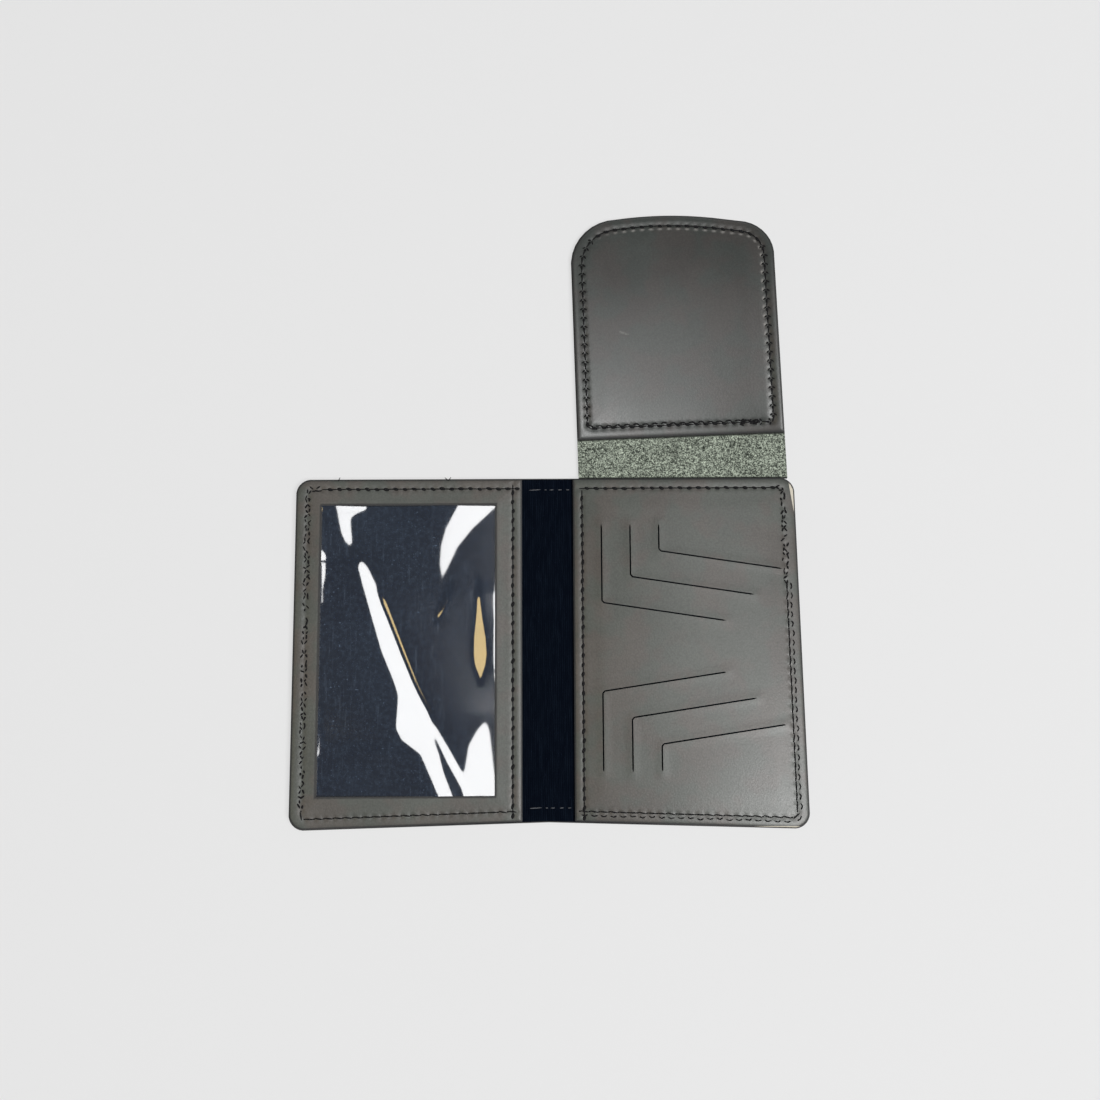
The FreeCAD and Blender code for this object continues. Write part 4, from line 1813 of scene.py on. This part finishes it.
@dataclass
class CardPanel:
    """The card half's leather panel with its angled slits."""

    plan: Plan
    thick: float = 0.95 * MM
    rise: float = 0.16 * MM
    slit_first: Pair = (16.05 * MM, 13.1 * MM)
    slit_pitch: Pair = (8.55 * MM, 7.7 * MM)
    slit_count: int = 3
    slit_end: float = 36.8 * MM
    slit_run: float = 36.7 * MM
    slit_slope: float = math.tan(math.radians(8.6))
    slit_corner: float = 0.6 * MM
    opening: float = 0.44 * MM
    lip: float = 0.1 * MM
    lip_spread: float = 1.6 * MM
    border_drop: float = 0.02 * MM
    bulge: Pair = (0.0028, 0.001)
    bulge_shift: Pair = (7.0 * MM, -4.0 * MM)
    spacing: float = 0.52 * MM
    seam_top_gap: float = 3.2 * MM
    seam_foot_gap: float = 0.9 * MM
    zones: Zones = (
        (0.28, Sewing.LOOPED), (0.6, Sewing.LOOPED), (0.73, Sewing.DOUBLE), (1.0, Sewing.NEAT))
    short_corner: tuple[Pair, ...] = ((74.2 * MM, 37.0 * MM), (72.7 * MM, 47.0 * MM))
    short_foot: tuple[Pair, ...] = ((40.0 * MM, -51.85 * MM), (75.0 * MM, -52.15 * MM))

    def short_cuts(self, inset: float) -> list[Line]:
        """Gives the two lines along which the panel was cut short, so that the cover shows beside it.

        Args:
            inset: Distance of the lines further in.

        Returns:
            A point and the outward direction of each line.
        """
        lines = []
        for (x, y), (end_x, end_y) in (self.short_corner, self.short_foot):
            run = Vector((end_x - x, end_y - y, 0.0)).normalized()
            outward = Vector((run.y, -run.x, 0.0))
            outward *= 1.0 if outward.dot(Vector((x, y, 0.0))) > 0.0 else -1.0
            lines.append((Vector((x, y, 0.0)) - outward * inset, outward))
        return lines

    def slits(self) -> list[list[Vector]]:
        """Draws the slits.

        Returns:
            The points of every slit's bent line.
        """
        lines = []
        for index in range(self.slit_count):
            x = self.slit_first[0] + self.slit_pitch[0] * index
            y = self.slit_first[1] + self.slit_pitch[1] * index
            for sign in (1.0, -1.0):
                points = ((x, self.slit_end), (x, y + self.slit_corner),
                          (x + self.slit_corner, y - self.slit_corner * self.slit_slope),
                          (x + self.slit_run, y - self.slit_run * self.slit_slope))
                lines.append([Vector((px, sign * py, 0.0)) for px, py in points])
        return lines

    def build(self) -> None:
        """Makes the panel and its thread."""
        low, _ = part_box("card_panel")
        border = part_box("seam_right")[0][2]
        outline = self.plan.half(Side.CARD, "card_panel", low[0])
        seams = EdgeSeams(Side.CARD)
        edge = seams.round_edge(outline, 41, self.zones)
        inner = seams.beside_spine(outline, self.seam_top_gap, self.seam_foot_gap, 42)
        surface = Surface(outline, border - self.border_drop, self.rise, seed=11.0, seams=[edge, inner],
                          bulge=self.bulge, bulge_shift=self.bulge_shift)
        sheet = SheetMesh(corners_of(outline), self.spacing)
        sheet.trim(outline.cuts() + self.short_cuts(0.0))
        for line in self.slits():
            sheet.slit(line, self.opening)
        sheet.raise_to(lambda places: surface.height(places) + self.lips(places))
        sheet.mark("edge", surface.paint)
        sheet.mark("swell", surface.swell)
        sheet.thicken(self.thick)
        panel = sheet.piece("card_panel_leather", LEATHER, SUEDE, PANEL_EDGE)
        hand_over(panel, "right_half", Slot.LEATHER, "card_panel")
        ThreadMesh(edge, inner).sew("card_panel_thread", "right_half", surface.height,
                                    "seam_right", "seam_card_panel")

    def lips(self, places: np.ndarray) -> np.ndarray:
        """Gives the slight rise of the leather beside the slits.

        Args:
            places: Plan positions, one row each.

        Returns:
            Heights to add.
        """
        lift = np.zeros(len(places))
        for line in self.slits():
            gap, _ = Path(line).nearest(places)
            lift = np.maximum(lift, self.lip * hump(gap, self.lip_spread))
        return lift


@dataclass(frozen=True)
class Fold:
    """A soft fold of the film.

    Each row holds, as shares of the window, a height and the two ends of the fold's steep side there.
    """

    rows: tuple[Triple, ...]
    slope: float
    to_right: bool = True
    lead: float = 12.0 * MM

    def lift(self, across: np.ndarray, shares: np.ndarray, left: float, width: float) -> np.ndarray:
        """Gives the fold's height.

        Args:
            across: Places along X.
            shares: Places along Y, as shares of the window.
            left: Place of the window's left rim.
            width: Width of the window.

        Returns:
            Heights to add.
        """
        levels, starts, ends = np.array(sorted(self.rows)).T
        start = left + width * np.interp(shares, levels, starts, 0.0, 0.0)
        end = left + width * np.interp(shares, levels, ends, 0.0, 0.0)
        if self.to_right:
            fall = np.clip(end - across, 0.0, end - start)
            return self.slope * fall * smooth(across - start, -self.lead, 0.0)
        climb = np.clip(across - start, 0.0, end - start)
        return self.slope * climb * (1.0 - smooth(across - end, 0.0, self.lead))


@dataclass
class WindowHalf:
    """The window half's leather frame and its wavy clear film."""

    plan: Plan
    thick: float = 0.95 * MM
    rise: float = 0.22 * MM
    low: Pair = (-67.55 * MM, -43.2 * MM)
    high: Pair = (-15.65 * MM, 42.6 * MM)
    zones: Zones = (
        (0.27, Sewing.NEAT), (0.715, Sewing.DOUBLE), (1.0, Sewing.THIN))
    loose_ends: tuple[Pair, ...] = (
        (-62.6 * MM, 0.5), (-30.2 * MM, -1.1), (-29.4 * MM, 0.7))
    loose_half_length: float = 0.9 * MM
    loose_half_width: float = 0.13 * MM
    border_rise: float = 0.15 * MM
    bulge: Pair = (-0.0008, 0.0)
    spacing: float = 0.52 * MM
    seam_top_gap: float = 1.4 * MM
    seam_foot_gap: float = 1.6 * MM
    rim_drop: float = 0.08 * MM
    rim_reach: float = 0.4 * MM
    rim_paint_and_shade: float = 0.75 * MM
    film_level: float = 1.79 * MM
    film_wave: float = 0.02 * MM
    film_wave_size: float = 16.0 * MM
    film_spacing: float = 0.4 * MM
    film_held: float = 0.85
    film_margin: Pair = (0.3 * MM, 2.2 * MM)
    film_thick: float = 0.12 * MM
    folds: tuple[Fold, ...] = (
        Fold(((0.81, 0.22, 0.24), (0.785, 0.205, 0.275), (0.72, 0.235, 0.325),
              (0.66, 0.265, 0.355), (0.6, 0.295, 0.4), (0.49, 0.351, 0.472), (0.386, 0.425, 0.544),
              (0.34, 0.45, 0.58), (0.29, 0.447, 0.625), (0.225, 0.44, 0.655), (0.185, 0.47, 0.66),
              (0.137, 0.577, 0.69), (0.08, 0.62, 0.715), (0, 0.68, 0.765), (-0.05, 0.72, 0.8)),
             0.108, lead=32.0 * MM),
        Fold(((0.25, 0.65, 0.65), (0.2, 0.665, 0.7), (0.16, 0.695, 0.74), (0.11, 0.735, 0.785),
              (0.06, 0.785, 0.83), (0.02, 0.825, 0.87), (-0.05, 0.865, 0.92)), 0.11, lead=26.0 * MM),
        Fold(((1.06, 0.05, 0.265), (0.985, 0.075, 0.262), (0.968, 0.08, 0.2),
              (0.955, 0.085, 0.172), (0.9, 0.105, 0.18), (0.87, 0.13, 0.185), (0.85, 0.165, 0.165)),
             0.105, lead=26.0 * MM),
        Fold(((1.06, 0.84, 1.06), (0.997, 0.78, 1), (0.92, 0.71, 0.87), (0.853, 0.68, 0.785),
              (0.79, 0.675, 0.74), (0.74, 0.69, 0.7), (0.7, 0.69, 0.69)), 0.058, lead=24.0 * MM),
        Fold(((0.25, 0.946, 0.946), (0.22, 0.9, 0.965), (0.17, 0.852, 0.975), (0.08, 0.826, 0.992),
              (-0.05, 0.83, 1.02)), 0.057, lead=32.0 * MM),
        Fold(((0.9, -0.05, -0.05), (0.83, -0.03, 0.03), (0.76, -0.03, 0.036), (0.7, -0.03, 0.024),
              (0.66, -0.03, 0.028), (0.6, -0.05, -0.05)), 0.14, lead=3.0 * MM),
        Fold(((0.36, -0.05, -0.05), (0.3, -0.03, 0.02), (0.24, -0.03, 0.014), (0.19, -0.03, 0.028),
              (0.14, -0.03, 0.02), (0.08, -0.05, -0.05)), 0.14, lead=3.0 * MM),
        Fold(((0.72, 0.325, 0.325), (0.66, 0.36, 0.376), (0.6, 0.4, 0.416), (0.49, 0.472, 0.488),
              (0.386, 0.543, 0.559), (0.34, 0.58, 0.596), (0.29, 0.626, 0.64), (0.25, 0.66, 0.66)),
             0.3, to_right=False, lead=24.0 * MM),
        Fold(((0.76, 0.905, 0.905), (0.68, 0.893, 0.92), (0.6, 0.885, 0.935), (0.54, 0.875, 0.952),
              (0.48, 0.872, 0.96), (0.44, 0.88, 0.952), (0.41, 0.9, 0.935), (0.37, 0.918, 0.918)),
             0.21, to_right=False, lead=900.0 * MM),
        Fold(((0.74, 0.75, 0.75), (0.68, 0.7, 0.738), (0.63, 0.675, 0.7), (0.58, 0.66, 0.66)),
             0.3, to_right=False, lead=60.0 * MM),
    )

    def build(self) -> None:
        """Makes the frame, the film and the thread."""
        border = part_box("seam_left")[0][2]
        inner_edge = -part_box("window_frame")[1][0]
        outline = self.plan.half(Side.WINDOW, "window_frame", inner_edge)
        seams = EdgeSeams(Side.WINDOW)
        edge = seams.round_edge(outline, 51, self.zones)
        inner = seams.beside_spine(outline, self.seam_top_gap, self.seam_foot_gap, 52)
        surface = Surface(outline, border + self.border_rise, self.rise, seed=17.0, seams=[edge, inner],
                          bulge=self.bulge)
        sheet = SheetMesh(corners_of(outline), self.spacing)
        sheet.trim(outline.cuts())
        sheet.open_window(Vector((*self.low, 0.0)), Vector((*self.high, 0.0)))
        sheet.raise_to(
            lambda places: surface.height(places) - self.rim_drop * self.rim(places, self.rim_reach))
        # Darker along the window's rim as well as along the outer edges.
        sheet.mark("edge", lambda places: np.maximum(surface.paint(places), self.rim(places, self.rim_paint_and_shade)))
        sheet.mark("swell", surface.swell)
        sheet.thicken(self.thick)
        leather = sheet.piece("window_frame_leather", LEATHER, SUEDE, PANEL_EDGE)
        hand_over(leather, "left_half", Slot.LEATHER, "window_frame")
        thread = ThreadMesh(edge, inner)
        for x, lean in self.loose_ends:
            end = Vector((x, outline.corners[2][1], 0.0))
            thread.dash(end, Vector((lean, 1.0, 0.0)), self.loose_half_length, self.loose_half_width)
        thread.sew("window_thread", "left_half", surface.height, "seam_left", "seam_window")
        self.film()

    def outside(self, places: np.ndarray) -> np.ndarray:
        """Measures how far outside the window places are.

        Args:
            places: Plan positions, one row each.

        Returns:
            Distances, negative inside the window.
        """
        middle = (np.array(self.low) + np.array(self.high)) / 2.0
        half = (np.array(self.high) - np.array(self.low)) / 2.0
        return np.max(np.abs(places - middle) - half, axis=1)

    def rim(self, places: np.ndarray, reach: float) -> np.ndarray:
        """Tells how near places are to the window's rim."""
        return np.exp(-np.maximum(self.outside(places), 0.0) / reach)

    def film(self) -> None:
        """Makes the film, pushed into soft ridges as loose film is."""
        low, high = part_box("window_film")
        quad = ((low[0], low[1]), (high[0], low[1]), (high[0], high[1]), (low[0], high[1]))
        sheet = SheetMesh(quad, self.film_spacing)
        sheet.raise_to(self.film_height)
        sheet.relax(5)
        sheet.thicken(self.film_thick)
        piece = sheet.piece("window_film_sheet", FILM, FILM, FILM)
        hand_over(piece, "left_half", Slot.FILM, "window_film")

    def film_height(self, places: np.ndarray) -> np.ndarray:
        """Gives the film's height.

        Args:
            places: Plan positions, one row each.

        Returns:
            Heights over the table.
        """
        size = np.array(self.high) - np.array(self.low)
        shares = (places[:, 1] - self.low[1]) / size[1]
        level = self.film_level + self.film_wave * ripple(places, self.film_wave_size, 5.0)
        lift = sum(fold.lift(places[:, 0], shares, self.low[0], size[0]) for fold in self.folds)
        return level + lift * (1.0 - self.film_held * smooth(self.outside(places), *self.film_margin))


@dataclass
class SpineThread:
    """The few pale stitches that cross the spine near its ends."""

    plan: Plan
    hide: OuterHide
    upper: float = 47.3 * MM
    lower: float = -46.7 * MM
    half_width: float = 0.15 * MM
    sink: float = 0.02 * MM
    slant: float = 0.06
    window_runs: tuple[Pair, ...] = ((-5.6 * MM, -1.9 * MM), (-0.9 * MM, -0.2 * MM))
    card_runs: tuple[Pair, ...] = (
        (0.6 * MM, 1.9 * MM), (3.2 * MM, 4.4 * MM), (5.6 * MM, 6.6 * MM))

    def build(self) -> None:
        """Makes each half's share of the stitches."""
        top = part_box("spine_lining")[1][2]
        runs = {Side.WINDOW: self.window_runs, Side.CARD: self.card_runs}
        for side in Side:
            thread = ThreadMesh()
            for level in (self.upper, self.lower):
                for start, end in runs[side]:
                    middle = Vector(((start + end) / 2.0, level, 0.0))
                    thread.dash(middle, Vector((1.0, self.slant, 0.0)), (end - start) / 2.0, self.half_width)
            thread.lay(flat(top - self.sink))
            piece = thread.piece(f"spine_thread_{side.word}", PALE_THREAD)
            self.hide.bend(piece, side, Slot.THREAD, *(("spine_seam",) if side is Side.CARD else ()))


@dataclass(frozen=True)
class Lamp:
    """A flat soft lamp that faces a point of the wallet."""

    name: str
    place: Triple
    target: Triple
    size: Pair
    radiance: float
    colour: Colour = (1.0, 1.0, 1.0)

    def build(self) -> None:
        """Hangs the lamp."""
        light = bpy.data.lights.new(self.name, "AREA")
        light.shape = "RECTANGLE"
        light.size, light.size_y = self.size
        light.energy = self.radiance * math.pi * self.size[0] * self.size[1]
        light.color = self.colour
        made = bpy.data.objects.new(self.name, light)
        made.location = self.place
        away = (Vector(self.place) - Vector(self.target)).normalized()
        across = Vector((0.0, 1.0, 0.0)).cross(away).normalized()
        made.rotation_euler = Matrix((across, away.cross(across), away)).transposed().to_euler()
        bpy.context.scene.collection.objects.link(made)


@dataclass
class Studio:
    """The table with its backdrop, the lamps, the room and the camera."""

    target: Triple = (0.716 * MM, 29.293 * MM, 0.0)
    elevation: float = math.radians(81.56)
    azimuth: float = math.radians(-0.25)
    distance: float = 398.4 * MM
    lens: float = 43.45
    sensor: float = 36.0
    nearest: float = 0.01
    ambient: float = 0.1
    ambient_colour: Colour = (0.82, 0.94, 1.14)
    table_radius: float = 2.0
    backdrop: float = 1.1
    sweep: float = 0.6
    table_gap: float = 0.05 * MM
    table_steps: int = 128
    sweep_steps: int = 16
    lamps: tuple[Lamp, ...] = (
        Lamp("overhead", (0.2625, 0.128, 1.6), (-0.0415, 0.0, 0.0), (0.576, 1.1), 3.4),
        Lamp("side", (0.62, -0.39, 1.2), (0.03, 0.0, 0.0), (0.45, 0.45), 25.0),
        Lamp("warm", (-0.605, -0.01, 1.2), (-0.04, 0.0, 0.0), (0.24, 0.44), 2.3, (1.0, 0.74, 0.33)),
    )

    def build(self) -> None:
        """Sets up the whole studio."""
        self.table()
        for lamp in self.lamps:
            lamp.build()
        self.surroundings()
        self.camera()

    def table(self) -> None:
        """Lays the pale table, with a backdrop that sweeps up round it."""
        bm = bmesh.new()
        bmesh.ops.create_circle(bm, cap_ends=True, radius=self.table_radius, segments=self.table_steps)
        rim = bm.edges[:]
        wall = bmesh.ops.extrude_edge_only(bm, edges=rim)["geom"]
        raised = [item for item in wall if isinstance(item, bmesh.types.BMVert)]
        bmesh.ops.translate(bm, verts=raised, vec=(0.0, 0.0, self.backdrop))
        bmesh.ops.bevel(bm, geom=rim, offset=self.sweep, affect="EDGES", segments=self.sweep_steps,
                        profile=0.5, material=-1)
        bmesh.ops.translate(bm, verts=bm.verts[:], vec=(0.0, 0.0, -self.table_gap))
        for face in bm.faces:
            face.smooth = True
        new_object("table", bm, (PaleFloor(),))

    def surroundings(self) -> None:
        """Lights the room evenly."""
        world = bpy.data.worlds.new("room")
        world.use_nodes = True
        sky = world.node_tree.nodes["Background"].inputs
        sky["Color"].default_value = (*self.ambient_colour, 1.0)
        sky["Strength"].default_value = self.ambient
        bpy.context.scene.world = world

    def camera(self) -> None:
        """Places the camera."""
        scene = bpy.context.scene
        lens = bpy.data.cameras.new("camera")
        lens.lens = self.lens
        lens.sensor_width = self.sensor
        lens.clip_start = self.nearest
        made = bpy.data.objects.new("camera", lens)
        reach = math.cos(self.elevation) * self.distance
        away = Vector((math.sin(self.azimuth) * reach, -math.cos(self.azimuth) * reach,
                       math.sin(self.elevation) * self.distance))
        made.location = Vector(self.target) + away
        made.rotation_euler = away.to_track_quat("Z", "Y").to_euler()
        scene.collection.objects.link(made)
        scene.camera = made
        scene.view_settings.view_transform = "Standard"


def main() -> None:
    """Builds every sub-assembly, then the studio."""
    logging.basicConfig(level=logging.INFO, format="%(message)s")
    plan = Plan()
    hide = OuterHide(plan)
    for part in (hide, Lining(plan, hide), CardPanel(plan), WindowHalf(plan), BadgeFlap(plan, hide),
                 SpineThread(plan, hide)):
        part.build()
    Studio().build()


if __name__ == "__main__":
    main()
